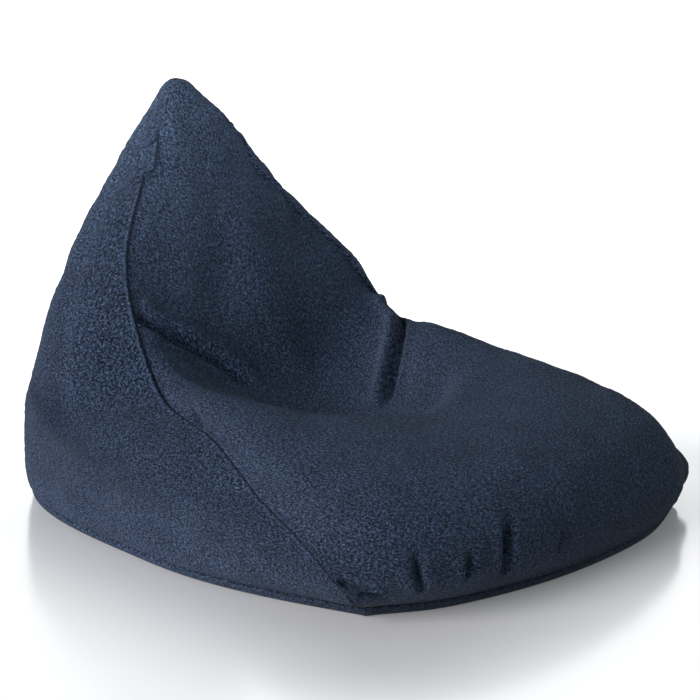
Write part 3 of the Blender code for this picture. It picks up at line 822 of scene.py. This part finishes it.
def boucleFabric():
    # Polyester boucle: looped, curled yarn on a knit back. Matt; the colour follows the curls' height, partly the
    # yarn's own tone, partly painted shade in the dark gaps and painted light on the pale tips
    material, tree = newMaterial("boucle_fabric")
    place = addNode(tree, "ShaderNodeUVMap", {"uv_map": "cloth"})
    warp = addNode(tree, "ShaderNodeTexNoise", {"noise_dimensions": "2D"}, {"Vector": (place, "UV")},
                   {"Scale": 1 / (boucle["curl"] * 0.9), "Detail": 2.0})
    pushed = addNode(tree, "ShaderNodeVectorMath", {"operation": "MULTIPLY_ADD"},
                     {0: (warp, "Color"), 2: (place, "UV")}, {1: (boucle["curl"] * 1.5,) * 3})
    stretched = addNode(tree, "ShaderNodeVectorMath", {"operation": "MULTIPLY"}, {0: (pushed, "Vector")},
                        {1: (0.80, 1.15, 1.0)})
    curls = addNode(tree, "ShaderNodeTexVoronoi", {"feature": "F1", "voronoi_dimensions": "2D"},
                    {"Vector": (stretched, "Vector")}, {"Scale": 1 / boucle["curl"], "Randomness": 1.0})
    strands = addNode(tree, "ShaderNodeTexNoise", {"noise_dimensions": "2D"}, {"Vector": (pushed, "Vector")},
                      {"Scale": 1 / boucle["strand"], "Detail": 3.0, "Roughness": 0.7})
    clumps = addNode(tree, "ShaderNodeTexNoise", {"noise_dimensions": "2D"},
                     {"Vector": (stretched, "Vector")},
                     {"Scale": 0.62 / boucle["curl"], "Detail": 2.0, "Roughness": 0.6})
    dome = mapRange(tree, (curls, "Distance"), 0.05, 0.70, 0.75, 0.0)
    curled = addNode(tree, "ShaderNodeMath", {"operation": "MULTIPLY_ADD"},
                     {0: (strands, 0), 2: (dome, "Result")}, {1: 0.55})
    height = addNode(tree, "ShaderNodeMath", {"operation": "MULTIPLY_ADD"},
                     {0: (clumps, 0), 2: (curled, "Value")}, {1: 0.9})
    level = mapRange(tree, (height, "Value"), 0.70, 1.62, 0.0, 1.0)
    # the ramp paints shade into the low gaps and light onto the high tips of the curls, as well as the yarn's tone
    colours = addNode(tree, "ShaderNodeValToRGB", None, {"Fac": (level, "Result")})
    ramp = colours.color_ramp
    ramp.elements[0].position, ramp.elements[0].color = 0.05, linearColour(boucle["gap"])
    ramp.elements[1].position, ramp.elements[1].color = 0.95, linearColour(boucle["tip"])
    body = ramp.elements.new(0.45)
    body.color = linearColour(boucle["body"])
    patches = addNode(tree, "ShaderNodeTexNoise", {"noise_dimensions": "2D"}, {"Vector": (place, "UV")},
                      {"Scale": 1 / boucle["patch"], "Detail": 3.0})
    shade = mapRange(tree, (patches, 0), 0.3, 0.7, 0.88, 1.12)
    onBag = addNode(tree, "ShaderNodeTexCoord")
    where = addNode(tree, "ShaderNodeSeparateXYZ", None, {"Vector": (onBag, "Object")})
    # painted shade: the base colour darkens low down and towards the front of the bag
    low = mapRange(tree, (where, "Z"), 0.0, boucle["lowTop"], boucle["lowFrontShade"], 0.0)
    front = mapRange(tree, (where, "Y"), *boucle["frontAt"], 0.0, 1.0)
    paintedShade = addNode(tree, "ShaderNodeMath", {"operation": "MULTIPLY"},
                   {0: (low, "Result"), 1: (front, "Result")})
    kept = addNode(tree, "ShaderNodeMath", {"operation": "SUBTRACT"}, {1: (paintedShade, "Value")}, {0: 1.0})
    value = addNode(tree, "ShaderNodeMath", {"operation": "MULTIPLY"},
                    {0: (shade, "Result"), 1: (kept, "Value")})
    final = addNode(tree, "ShaderNodeHueSaturation", None,
                    {"Color": (colours, "Color"), "Value": (value, "Value")})
    bump = bumped(tree, (height, "Value"), 1.0, boucle["relief"])
    intoShader(tree, {"Base Color": (final, "Color"), "Normal": (bump, "Normal")},
               {"Roughness": 0.95, "Specular IOR Level": 0.1, "Sheen Weight": 0.12, "Sheen Roughness": 0.5,
                "Sheen Tint": linearColour(boucle["sheen"])})
    return material


lining = {"colour": "#e9e8e4", "shadow": "#d5d3cd", "yarn": 0.0007, "relief": 0.0002}


def liningFabric():
    # Plain-woven polyester lining, off-white
    material, tree = newMaterial("woven_lining")
    place = addNode(tree, "ShaderNodeUVMap", {"uv_map": "cloth"})
    weave = addNode(tree, "ShaderNodeTexChecker", None, {"Vector": (place, "UV")},
                    {"Scale": 1 / lining["yarn"], "Color1": linearColour(lining["colour"]),
                     "Color2": linearColour(lining["shadow"])})
    bump = bumped(tree, (weave, 1), 0.3, lining["relief"])
    intoShader(tree, {"Base Color": (weave, "Color"), "Normal": (bump, "Normal")}, {"Roughness": 0.8})
    return material


# gap: painted shade in the crevices between the beads
beading = {"size": 0.005, "colour": "#f4f5f4", "gap": "#c2c6c8", "relief": 0.002}


def beadStyrofoam():
    # Expanded polystyrene beads about 5 mm across
    material, tree = newMaterial("polystyrene_beads")
    place = addNode(tree, "ShaderNodeTexCoord")
    cells = addNode(tree, "ShaderNodeTexVoronoi", {"feature": "F1"}, {"Vector": (place, "Object")},
                    {"Scale": 1 / beading["size"], "Randomness": 0.7})
    # painted shade: grey towards each bead's edge, in the crevices between the white beads
    colours = addNode(tree, "ShaderNodeValToRGB", None, {"Fac": (cells, "Distance")})
    colours.color_ramp.elements[0].color = linearColour(beading["colour"])
    colours.color_ramp.elements[1].color = linearColour(beading["gap"])
    ball = addNode(tree, "ShaderNodeMath", {"operation": "MULTIPLY"}, {0: (cells, "Distance")}, {1: -1.0})
    bump = bumped(tree, (ball, "Value"), 1.0, beading["relief"])
    intoShader(tree, {"Base Color": (colours, "Color"), "Normal": (bump, "Normal")},
               {"Roughness": 0.7, "Subsurface Weight": 0.1})
    return material


floorLook = {
    "colour": "#f4f5f6",
    # glow: painted light, the floor's own glow that fills the sun's shadow behind the bag
    "glow": 0.5,
    "glowNear": 0.11,
    "glowFrom": -0.1,
    "glowTo": 0.7,
    "mirror": 0.54,        # reflecting share next to the bag
    "mirrorFar": 0.03,
    "footprint": (0.42, 0.50, 0.0),
    "mirrorFrom": 0.10,
    "mirrorTo": 0.54,
    "roughness": (0.16, 0.20),
    "size": 60,
    "height": -0.0005,     # just under the bag's lowest point
}


def studioFloor():
    # White acrylic sheet: polished where the bag stands; painted light: it glows, more towards the back, so the key
    # sun's shadow behind the bag stays white
    material, tree = newMaterial("white_floor")
    place = addNode(tree, "ShaderNodeTexCoord")
    grain = addNode(tree, "ShaderNodeTexNoise", None, {"Vector": (place, "Object")},
                    {"Scale": 3.0, "Detail": 2.0})
    level = mapRange(tree, (grain, 0), 0.0, 1.0, *floorLook["roughness"])
    # painted light: emission rising from the front to the back of the floor, covering the sun's shadow there
    away = addNode(tree, "ShaderNodeVectorMath", {"operation": "DOT_PRODUCT"}, {0: (place, "Object")},
                   {1: (0.707, 0.707, 0.0)})
    glow = mapRange(tree, (away, "Value"), floorLook["glowFrom"], floorLook["glowTo"],
                    floorLook["glowNear"], floorLook["glow"], "SMOOTHSTEP")
    side = addNode(tree, "ShaderNodeVectorMath", {"operation": "ABSOLUTE"}, {0: (place, "Object")})
    beyond = addNode(tree, "ShaderNodeVectorMath", {"operation": "SUBTRACT"}, {0: (side, "Vector")},
                     {1: floorLook["footprint"]})
    outside = addNode(tree, "ShaderNodeVectorMath", {"operation": "MAXIMUM"}, {0: (beyond, "Vector")},
                      {1: (0.0, 0.0, 0.0)})
    distance = addNode(tree, "ShaderNodeVectorMath", {"operation": "LENGTH"}, {0: (outside, "Vector")})
    mirror = mapRange(tree, (distance, "Value"), floorLook["mirrorFrom"], floorLook["mirrorTo"],
                      floorLook["mirror"], floorLook["mirrorFar"], "SMOOTHSTEP")
    intoShader(tree, {"Roughness": (level, "Result"), "Emission Strength": (glow, "Result"),
                      "Metallic": (mirror, "Result")},
               {"Emission Color": linearColour("#ffffff"), "Base Color": linearColour(floorLook["colour"])})
    return material


view = {"azimuth": -45.0, "elevation": 20.0, "distance": 7.0, "angle": 12.0,
        "target": (-0.009, 0.009, 0.342)}
light = {"ambient": "#97a2a3", "sun": 5.1, "sunAngle": 34.0, "sunFrom": (-1.0, 0.16, 0.43),
         "sunColour": "#fff8f9", "top": 0.15, "topFrom": (-0.3, 0.2, 1.0), "spot": 620.0, "spotFrom": (-1.5, -1.3, 2.1),
         "spotAt": (-0.03, 0.52, 0.83), "spotAngle": 17.0, "spotSize": 0.3, "topAngle": 90.0}


def makeStage():
    azimuth, elevation = math.radians(view["azimuth"]), math.radians(view["elevation"])
    back = Vector((math.sin(azimuth) * math.cos(elevation), -math.cos(azimuth) * math.cos(elevation),
                   math.sin(elevation)))
    data = bpy.data.cameras.new("camera")
    camera = addObject("camera", data)
    data.angle = math.radians(view["angle"])
    data.clip_end = 100
    camera.location = Vector(view["target"]) + back * view["distance"]
    camera.rotation_euler = back.to_track_quat("Z", "Y").to_euler()
    bpy.context.scene.camera = camera

    world = bpy.data.worlds.new("studio")
    bpy.context.scene.world = world
    world.use_nodes = True
    tree = world.node_tree
    backdrop = tree.nodes["Background"]
    path = addNode(tree, "ShaderNodeLightPath")
    seen = addNode(tree, "ShaderNodeMath", {"operation": "MAXIMUM"},
                   {0: (path, "Is Camera Ray"), 1: (path, "Is Glossy Ray")})
    colours = addNode(tree, "ShaderNodeValToRGB", None, {"Fac": (seen, "Value")})
    colours.color_ramp.elements[0].color = linearColour(light["ambient"])
    colours.color_ramp.elements[1].color = linearColour("#ffffff")
    tree.links.new(colours.outputs["Color"], backdrop.inputs["Color"])
    for name, power, angle, source in (("key", light["sun"], light["sunAngle"], light["sunFrom"]),
                                       ("top", light["top"], light["topAngle"], light["topFrom"])):
        lamp = bpy.data.lights.new(name, "SUN")
        lamp.energy = power
        lamp.angle = math.radians(angle)
        lamp.color = linearColour(light["sunColour"])[:3]
        addObject(name, lamp).rotation_euler = Vector(source).to_track_quat("Z", "Y").to_euler()

    lamp = bpy.data.lights.new("backrest_spot", "SPOT")
    lamp.energy = light["spot"]
    lamp.spot_size = math.radians(light["spotAngle"])
    lamp.spot_blend = 1.0
    lamp.shadow_soft_size = light["spotSize"]
    item = addObject("backrest_spot", lamp)
    item.location = light["spotFrom"]
    aim = Vector(light["spotFrom"]) - Vector(light["spotAt"])
    item.rotation_euler = aim.to_track_quat("Z", "Y").to_euler()

    bpy.ops.mesh.primitive_plane_add(size=floorLook["size"], location=(0, 0, floorLook["height"]))
    floor = bpy.context.object
    floor.name = "floor"
    floor.data.materials.append(studioFloor())
    bpy.context.scene.view_settings.view_transform = "Standard"
    print("stage: camera, world, lights and floor")


cover = {
    "thickness": 0.003,
    "seatRows": 250,
    "seatColumns": 156,
    "hoodColumns": 100,
    "hoodRows": 34,
    "sideRows": 190,
    "sideColumns": 190,
    "baseRows": 26,
    "baseEdgeRows": 14,
    "baseSideColumns": 150,
    "baseSeatColumns": 130,
    "baseValley": 0.008,
    "lowest": 0.0002,
}
seamEdges = {}             # lines that the thread follows, filled in as the panels are made


def panelPiece(name, points, faces, places, material):
    item = clothShell("boucle_" + name, points, faces, places, cover["thickness"], material)
    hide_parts(name)
    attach(item, "bag")
    return item


def seatPanel(material):
    hood, cap = bagForm["hoodStation"], bagForm["capStation"]
    low = evenStations("seat", 0, hood, cover["seatRows"], 3, 0)
    high = evenStations("seat", hood, cap, cover["hoodRows"])
    stations = np.concatenate([low, high[1:]])
    shares = spaced(cover["seatColumns"], 5, 5)
    front = coverRows("seat", stations, shares)
    seamEdges["right"], seamEdges["left"] = (front[:len(low), k].copy() for k in (0, -1))
    seamEdges["front"] = front[0].copy()
    places = clothPlaces(front)
    backShares = np.linspace(0, 1, cover["hoodColumns"] // 2)
    rear = np.concatenate([coverRows("left", high, backShares, "hood"),
                           coverRows("right", high, backShares, "hood")[:, 1:]], 1)
    rear[:, 0], rear[:, -1] = front[len(low) - 1:, -1], front[len(low) - 1:, 0]
    rearPlaces = clothPlaces(rear) + (0.5, 0)
    count = front.shape[0] * front.shape[1]
    faces = np.concatenate([gridFaces(*front.shape[:2]), gridFaces(*rear.shape[:2], False, count)])
    points = np.concatenate([front.reshape(-1, 3), rear.reshape(-1, 3)])
    places = np.concatenate([places.reshape(-1, 2), rearPlaces.reshape(-1, 2)])
    return panelPiece("seat_panel", *weld(points, faces, places), material)


def partAtZip(rows, stations, side):
    # the two back edges stand apart over the coils
    first, last, turn = zipGap["first"], zipGap["last"], zipGap["turn"]
    apart = smoothStep(first, first + turn, stations) * (1 - smoothStep(last - turn, last, stations))
    near = np.clip(1 - np.abs(rows[..., 0]) / zipGap["flat"], 0, 1)
    rows[..., 0] += side * zipGap["half"] * apart[:, None] * near


def sidePanel(piece, material):
    hood = bagForm["hoodStation"]
    ends = [zipGap["first"] + k * zipGap["turn"] / 3 for k in range(4)]
    ends += [zipGap["last"] - k * zipGap["turn"] / 3 for k in range(4)]
    stations = np.sort(np.concatenate([evenStations(piece, 0, hood, cover["sideRows"], 3, 2), ends]))
    near = (3, 5) if piece == "right" else (5, 3)
    shares = spaced(cover["sideColumns"], *near)
    rows = coverRows(piece, stations, shares)
    partAtZip(rows, stations, -1 if piece == "right" else 1)
    seamEdges["back"] = (stations, rows[:, 0 if piece == "right" else -1].copy())
    sheet = weld(rows.reshape(-1, 3), gridFaces(*rows.shape[:2]), clothPlaces(rows).reshape(-1, 2))
    return panelPiece("side_panel_" + piece, *sheet, material)


def basePanel(material):
    stations = np.concatenate([np.linspace(-2, -1, cover["baseRows"]),
                               np.linspace(-1, 0, cover["baseEdgeRows"])[1:]])
    rows = ringRows(stations, np.linspace(0, 1, cover["baseSideColumns"]),
                    np.linspace(0, 1, cover["baseSeatColumns"]))
    inward = -gridNormals(rows)
    inward[..., 2] = 0
    look = edgeLooks["base"]
    distance, _ = seams["base"].measure(rows, measuring["foot"])
    drop = look["sink"] * np.exp(-(distance / look["crack"]) ** 2)
    drop += look["valley"] * np.exp(-(distance / cover["baseValley"]) ** 2)
    rows = rows + inward * drop[..., None]
    rows[..., 2] = np.maximum(rows[..., 2], cover["lowest"])
    # flat coordinates: straight down over the floor part, unrolled at the turned-up edge
    out = rows[..., :2] - shiftY[:2]
    reach = np.maximum(np.linalg.norm(out, axis=2, keepdims=True), 1e-9)
    places = out / reach * (reach + rows[..., 2:])
    faces = gridFaces(*rows.shape[:2], True)
    return panelPiece("base_panel", *weld(rows.reshape(-1, 3), faces, places.reshape(-1, 2)), material)


# The inner bag and the beads, which follow the cover from inside
inner = {
    "sideColumns": 44,
    "seatColumns": 56,
    "rows": 96,
    "footRows": 18,
    "linerInset": 0.0105,
    "linerThickness": 0.0006,
    "beadInset": 0.0140,
    "seamDrop": 0.014,
    "seamWidth": 0.018,
    "foldWider": 0.010,
    "edgeGap": 0.06,
    "capGap": 0.15,            # the last full row below the cap, in stations
    "baseHem": 0.04,
}


def innerStations():
    high = evenStations("seat", 0, bagForm["capStation"] - inner["capGap"], inner["rows"])
    hood = np.argmin(np.abs(high - bagForm["hoodStation"]))
    high[hood] = bagForm["hoodStation"]
    return np.concatenate([np.linspace(-2, 0, inner["footRows"])[:-1], high, [bagForm["capStation"]]]), hood


def innerRing(inset):
    # a closed surface below the cover, and below its deepest folds
    stations, _ = innerStations()
    side, seat = inner["sideColumns"], inner["seatColumns"]
    sideShares, seatShares = np.linspace(0, 1, side + 1), np.linspace(0, 1, seat + 1)
    above = np.maximum(stations, 0.0)
    parts = {piece: filledRows(piece, above, shares)[:, :-1]
             for piece, shares in ringParts(sideShares, seatShares)}
    rows = np.concatenate(list(parts.values()), 1)
    below = stations < 0
    rows[below] = footRows(rows[np.argmin(np.abs(stations))], stations[below])
    normals = gridNormals(np.concatenate([rows[:, -1:], rows, rows[:, :1]], 1))[:, 1:-1]
    normals[-1] = (0, 0, 1)
    normals[0] = (0, 0, -1)
    relief = np.zeros(rows.shape[:2])
    for curve in seams.values():
        distance, _ = curve.measure(rows, measuring["foot"])
        relief = np.minimum(relief, -inner["seamDrop"] * np.exp(-(distance / inner["seamWidth"]) ** 2))
    first = 0
    for piece, part in parts.items():
        last = first + part.shape[1]
        folds = foldRelief(rows[:, first:last], normals[:, first:last], piece, inner["foldWider"])
        relief[:, first:last] += np.minimum(folds, 0) * (~below)[:, None]
        first = last
    relief = neighbours(neighbours(relief, np.min), np.min)
    relief = neighbours(neighbours(relief, np.mean), np.mean)
    return rows + normals * (relief - inset)[..., None]


def linerPanels(material):
    ring = innerRing(inner["linerInset"])
    stations, hoodRow = innerStations()
    side, seat = inner["sideColumns"], inner["seatColumns"]
    foot = inner["footRows"] - 1
    top = foot + hoodRow
    around = np.concatenate([ring, ring[:, :1]], 1)
    gap = inner["edgeGap"]
    parts = {
        "liner_side_right": around[foot:top + 1, :side + 1],
        "liner_side_left": around[foot:top + 1, side + seat:],
        "liner_seat_panel": around[foot:, side:side + seat + 1],
        "liner_base_panel": around[:foot + 1],
    }
    hood = np.concatenate([around[top:, side + seat:-1], around[top:, :side + 1]], 1)
    for name, rows in parts.items():
        rows = rows.copy()
        places = clothPlaces(rows)
        if name == "liner_base_panel":
            places = rows[..., :2]
            rows[-1] += (rows[-2] - rows[-1]) * gap
        else:
            rows[0] += (rows[1] - rows[0]) * gap
            last = -1 if name != "liner_seat_panel" else hoodRow
            rows[:last, 0] += (rows[:last, 1] - rows[:last, 0]) * gap
            rows[:last, -1] += (rows[:last, -2] - rows[:last, -1]) * gap
        if name.startswith("liner_side"):
            rows[-1] += (rows[-2] - rows[-1]) * gap
        faces, points = gridFaces(*rows.shape[:2]), rows.reshape(-1, 3)
        places = places.reshape(-1, 2)
        if name == "liner_seat_panel":
            faces = np.concatenate([faces, gridFaces(*hood.shape[:2], False, len(points))])
            points = np.concatenate([points, hood.reshape(-1, 3)])
            places = np.concatenate([places, clothPlaces(hood).reshape(-1, 2) + (0.5, 0)])
        item = clothShell("woven_" + name, *weld(points, faces, places), inner["linerThickness"], material)
        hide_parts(name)
        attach(item, "bag")


def beadFilling(material):
    ring = innerRing(inner["beadInset"])
    points, faces, places = weld(ring.reshape(-1, 3), gridFaces(*ring.shape[:2], True),
                                 ring[..., :2].reshape(-1, 2))
    item = clothObject("polystyrene_fill", points, faces, places, material)
    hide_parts("bead_fill")
    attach(item, "bag")


# Nylon coil zip: woven tapes, two coils, metal stops, slider and pull
zipLook = {
    "tape": "#1c2432",
    "weave": 0.0009,
    "nylon": "#151c28",
    "metal": "#3b3f45",
    "pitch": 0.0013,
    "wire": 0.00042,
    "bevel": 0.00025,
    "threadColour": "#1b2636",
    "stitch": 0.0036,
    "stitchGap": 0.0011,
    "thread": 0.00042,
    "rowFromMiddle": 0.0145,   # the topstitched rows beside the zip
    "rowBeyond": 0.012,
    "tapeRelief": 0.0002,
    "grain": 0.0004,
    "nylonGrain": 0.0006,
}


def zipTape():
    # Polyester herringbone tape
    material, tree = newMaterial("zip_tape_weave")
    place = addNode(tree, "ShaderNodeTexCoord")
    ribs = addNode(tree, "ShaderNodeTexWave", {"bands_direction": "DIAGONAL"}, {"Vector": (place, "Object")},
                   {"Scale": 0.31 / zipLook["weave"], "Distortion": 0.6, "Detail": 1.0})
    tone = mapRange(tree, (ribs, 1), 0.0, 1.0, 0.8, 1.3)
    colour = addNode(tree, "ShaderNodeHueSaturation", None, {"Value": (tone, "Result")},
                     {"Color": linearColour(zipLook["tape"])})
    bump = bumped(tree, (ribs, 1), 0.6, zipLook["tapeRelief"])
    intoShader(tree, {"Base Color": (colour, "Color"), "Normal": (bump, "Normal")}, {"Roughness": 0.85})
    return material


def speckled(name, colour, size, rough, metallic=0.0, relief=0.00005):
    # a plain finish with fine variation in its tone, roughness and surface
    material, tree = newMaterial(name)
    place = addNode(tree, "ShaderNodeTexCoord")
    grain = addNode(tree, "ShaderNodeTexNoise", None, {"Vector": (place, "Object")},
                    {"Scale": 1 / size, "Detail": 3.0})
    tone = mapRange(tree, (grain, 0), 0.0, 1.0, 0.8, 1.2)
    tinted = addNode(tree, "ShaderNodeHueSaturation", None, {"Value": (tone, "Result")},
                     {"Color": linearColour(colour)})
    level = mapRange(tree, (grain, 0), 0.0, 1.0, rough - 0.08, rough + 0.08)
    bump = bumped(tree, (grain, 0), 0.4, relief)
    intoShader(tree, {"Base Color": (tinted, "Color"), "Roughness": (level, "Result"),
                      "Normal": (bump, "Normal")},
               {"Metallic": metallic})
    return material


def nodeTree(name, inputs):
    tree = bpy.data.node_groups.new(name, "GeometryNodeTree")
    tree.interface.new_socket("Geometry", in_out="INPUT", socket_type="NodeSocketGeometry")
    for title, kind in inputs.items():
        tree.interface.new_socket(title, in_out="INPUT", socket_type=kind)
    tree.interface.new_socket("Geometry", in_out="OUTPUT", socket_type="NodeSocketGeometry")
    return tree, addNode(tree, "NodeGroupInput")


def repeatTree(name, build, sizes):
    # instances of one shape at even steps along the lines of the mesh, turned to follow them
    inputs = {title: "NodeSocketFloat" for title in ["Step", *sizes]}
    tree, given = nodeTree(name, {**inputs, "Material": "NodeSocketMaterial"})
    line = addNode(tree, "GeometryNodeMeshToCurve", None, {"Mesh": (given, "Geometry")})
    steps = addNode(tree, "GeometryNodeResampleCurve", {"mode": "LENGTH"},
                    {"Curve": (line, "Curve"), "Length": (given, "Step")})
    tangent = addNode(tree, "GeometryNodeInputTangent")
    turn = addNode(tree, "FunctionNodeAlignRotationToVector", {"axis": "Z"}, {"Vector": (tangent, "Tangent")})
    shape, output = build(tree, given)
    copies = addNode(tree, "GeometryNodeInstanceOnPoints", None,
                     {"Points": (steps, "Curve"), "Instance": (shape, output),
                      "Rotation": (turn, "Rotation")})
    real = addNode(tree, "GeometryNodeRealizeInstances", None, {"Geometry": (copies, "Instances")})
    smooth = addNode(tree, "GeometryNodeSetShadeSmooth", None, {"Geometry": (real, "Geometry")})
    painted = addNode(tree, "GeometryNodeSetMaterial", None,
                      {"Geometry": (smooth, "Geometry"), "Material": (given, "Material")})
    addNode(tree, "NodeGroupOutput", None, {"Geometry": (painted, "Geometry")})
    return tree


def coilLink(tree, given):
    # one flattened loop of nylon wire
    loop = addNode(tree, "GeometryNodeCurvePrimitiveCircle", None, None, {"Resolution": 10, "Radius": 1.0})
    size = addNode(tree, "ShaderNodeCombineXYZ", None,
                   {"X": (given, "Width"), "Y": (given, "Height")}, {"Z": 1.0})
    flat = addNode(tree, "GeometryNodeTransform", None,
                   {"Geometry": (loop, "Curve"), "Scale": (size, "Vector")})
    wire = addNode(tree, "GeometryNodeCurvePrimitiveCircle", None,
                   {"Radius": (given, "Wire")}, {"Resolution": 5})
    return addNode(tree, "GeometryNodeCurveToMesh", None,
                   {"Curve": (flat, "Geometry"), "Profile Curve": (wire, "Curve")}), "Mesh"


def threadStitch(tree, given):
    # one stitch: a short round bar with pointed ends
    ball = addNode(tree, "GeometryNodeMeshUVSphere", None, None, {"Segments": 6, "Rings": 4, "Radius": 1.0})
    size = addNode(tree, "ShaderNodeCombineXYZ", None,
                   {"X": (given, "Thread"), "Y": (given, "Thread"), "Z": (given, "Length")})
    return addNode(tree, "GeometryNodeTransform", None,
                   {"Geometry": (ball, "Mesh"), "Scale": (size, "Vector")}), "Geometry"


def repeatAlong(name, lines, tree, values):
    # one mesh with the tree's copies along every line
    mesh = bpy.data.meshes.new(name)
    points, edges = [], []
    for line in lines:
        edges += [(len(points) + k, len(points) + k + 1) for k in range(len(line) - 1)]
        points += [tuple(map(float, point)) for point in line]
    mesh.from_pydata(points, edges, [])
    item = addObject(name, mesh)
    modifier = item.modifiers.new("repeat", "NODES")
    modifier.node_group = tree
    for socket in tree.interface.items_tree:
        if socket.name in values:
            modifier[socket.identifier] = values[socket.name]
    evaluated = item.evaluated_get(bpy.context.evaluated_depsgraph_get())
    result = bpy.data.meshes.new_from_object(evaluated)
    item.modifiers.clear()
    item.data = result
    result.materials.clear()
    result.materials.append(values["Material"])
    result.polygons.foreach_set("material_index", [0] * len(result.polygons))
    bpy.data.meshes.remove(mesh)
    return item


def makeCoil(side, material, tree):
    low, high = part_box("zip_coil_" + side)
    wire = zipLook["wire"]
    x, y = (low[0] + high[0]) / 2, (low[1] + high[1]) / 2
    line = [(x, y, low[2] + wire), (x, y, high[2] - wire)]
    item = repeatAlong("coil_links_" + side, [line], tree,
                       {"Step": zipLook["pitch"], "Width": (high[0] - low[0]) / 2 - wire,
                        "Height": (high[1] - low[1]) / 2 - wire, "Wire": wire, "Material": material})
    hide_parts("zip_coil_" + side)
    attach(item, "bag")


def bevelled(node, name, body, material):
    # a metal piece with softened edges, from the CAD piece's own shape
    source = bpy.data.objects[node]
    mesh = source.data.copy()
    mesh.transform(source.matrix_world)
    shape = bmesh.new()
    shape.from_mesh(mesh)
    bmesh.ops.remove_doubles(shape, verts=shape.verts, dist=1e-6)
    bmesh.ops.dissolve_limit(shape, angle_limit=math.radians(1), verts=shape.verts, edges=shape.edges)
    shape.to_mesh(mesh)
    shape.free()
    item = addObject(name, mesh)
    bevel = item.modifiers.new("bevel", "BEVEL")
    bevel.width = zipLook["bevel"]
    bevel.segments = 2
    bevel.limit_method = "ANGLE"
    result = bpy.data.meshes.new_from_object(item.evaluated_get(bpy.context.evaluated_depsgraph_get()))
    item.modifiers.clear()
    item.data = result
    result.materials.clear()
    result.materials.append(material)
    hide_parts(node)
    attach(item, body)


def makeZip():
    tape, metal = zipTape(), speckled("zip_metal_satin", zipLook["metal"], zipLook["grain"], 0.36, 1.0)
    nylon = speckled("zip_coil_nylon", zipLook["nylon"], zipLook["nylonGrain"], 0.42)
    links = repeatTree("coil_loops", coilLink, ["Width", "Height", "Wire"])
    for side in ("right", "left"):
        node = bpy.data.objects["zip_tape_" + side]
        node.data.materials.clear()
        node.data.materials.append(tape)
        makeCoil(side, nylon, links)
        bevelled("zip_lower_stop_" + side, "lower_stop_" + side, "bag", metal)
    bevelled("zip_upper_stop", "upper_stop", "bag", metal)
    bevelled("zip_slider", "slider_metal", "slider", metal)
    bevelled("zip_pull", "pull_metal", "pull", metal)
    print("zip")


def makeThread():
    # lockstitches down in the seams, and a topstitched row each side of the zip
    thread = speckled("polyester_thread", zipLook["threadColour"], zipLook["grain"], 0.75)
    tree = repeatTree("stitches", threadStitch, ["Length", "Thread"])
    stations, back = seamEdges["back"]
    lines = [seamEdges["right"], seamEdges["left"], seamEdges["front"],
             back[stations <= zipGap["first"]], back[stations >= zipGap["last"]]]
    low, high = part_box("zip_coil_left")
    back = coverHigh[1]
    for x in (-zipLook["rowFromMiddle"], zipLook["rowFromMiddle"]):
        lines.append([(x, back, low[2] - zipLook["rowBeyond"]), (x, back, high[2] + zipLook["rowBeyond"])])
    item = repeatAlong("seam_thread", lines, tree,
                       {"Step": zipLook["stitch"] + zipLook["stitchGap"], "Length": zipLook["stitch"] / 2,
                        "Thread": zipLook["thread"], "Material": thread})
    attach(item, "bag")
    print("thread", len(item.data.polygons))


makeStage()
fabric = boucleFabric()
seat = seatPanel(fabric)
print("seat panel", len(seat.data.polygons))
sides = [sidePanel(piece, fabric) for piece in ("right", "left")]
print("side panels", len(sides[0].data.polygons))
base = basePanel(fabric)

makeZip()
makeThread()
linerPanels(liningFabric())
beadFilling(beadStyrofoam())
print("inner bag and beads")
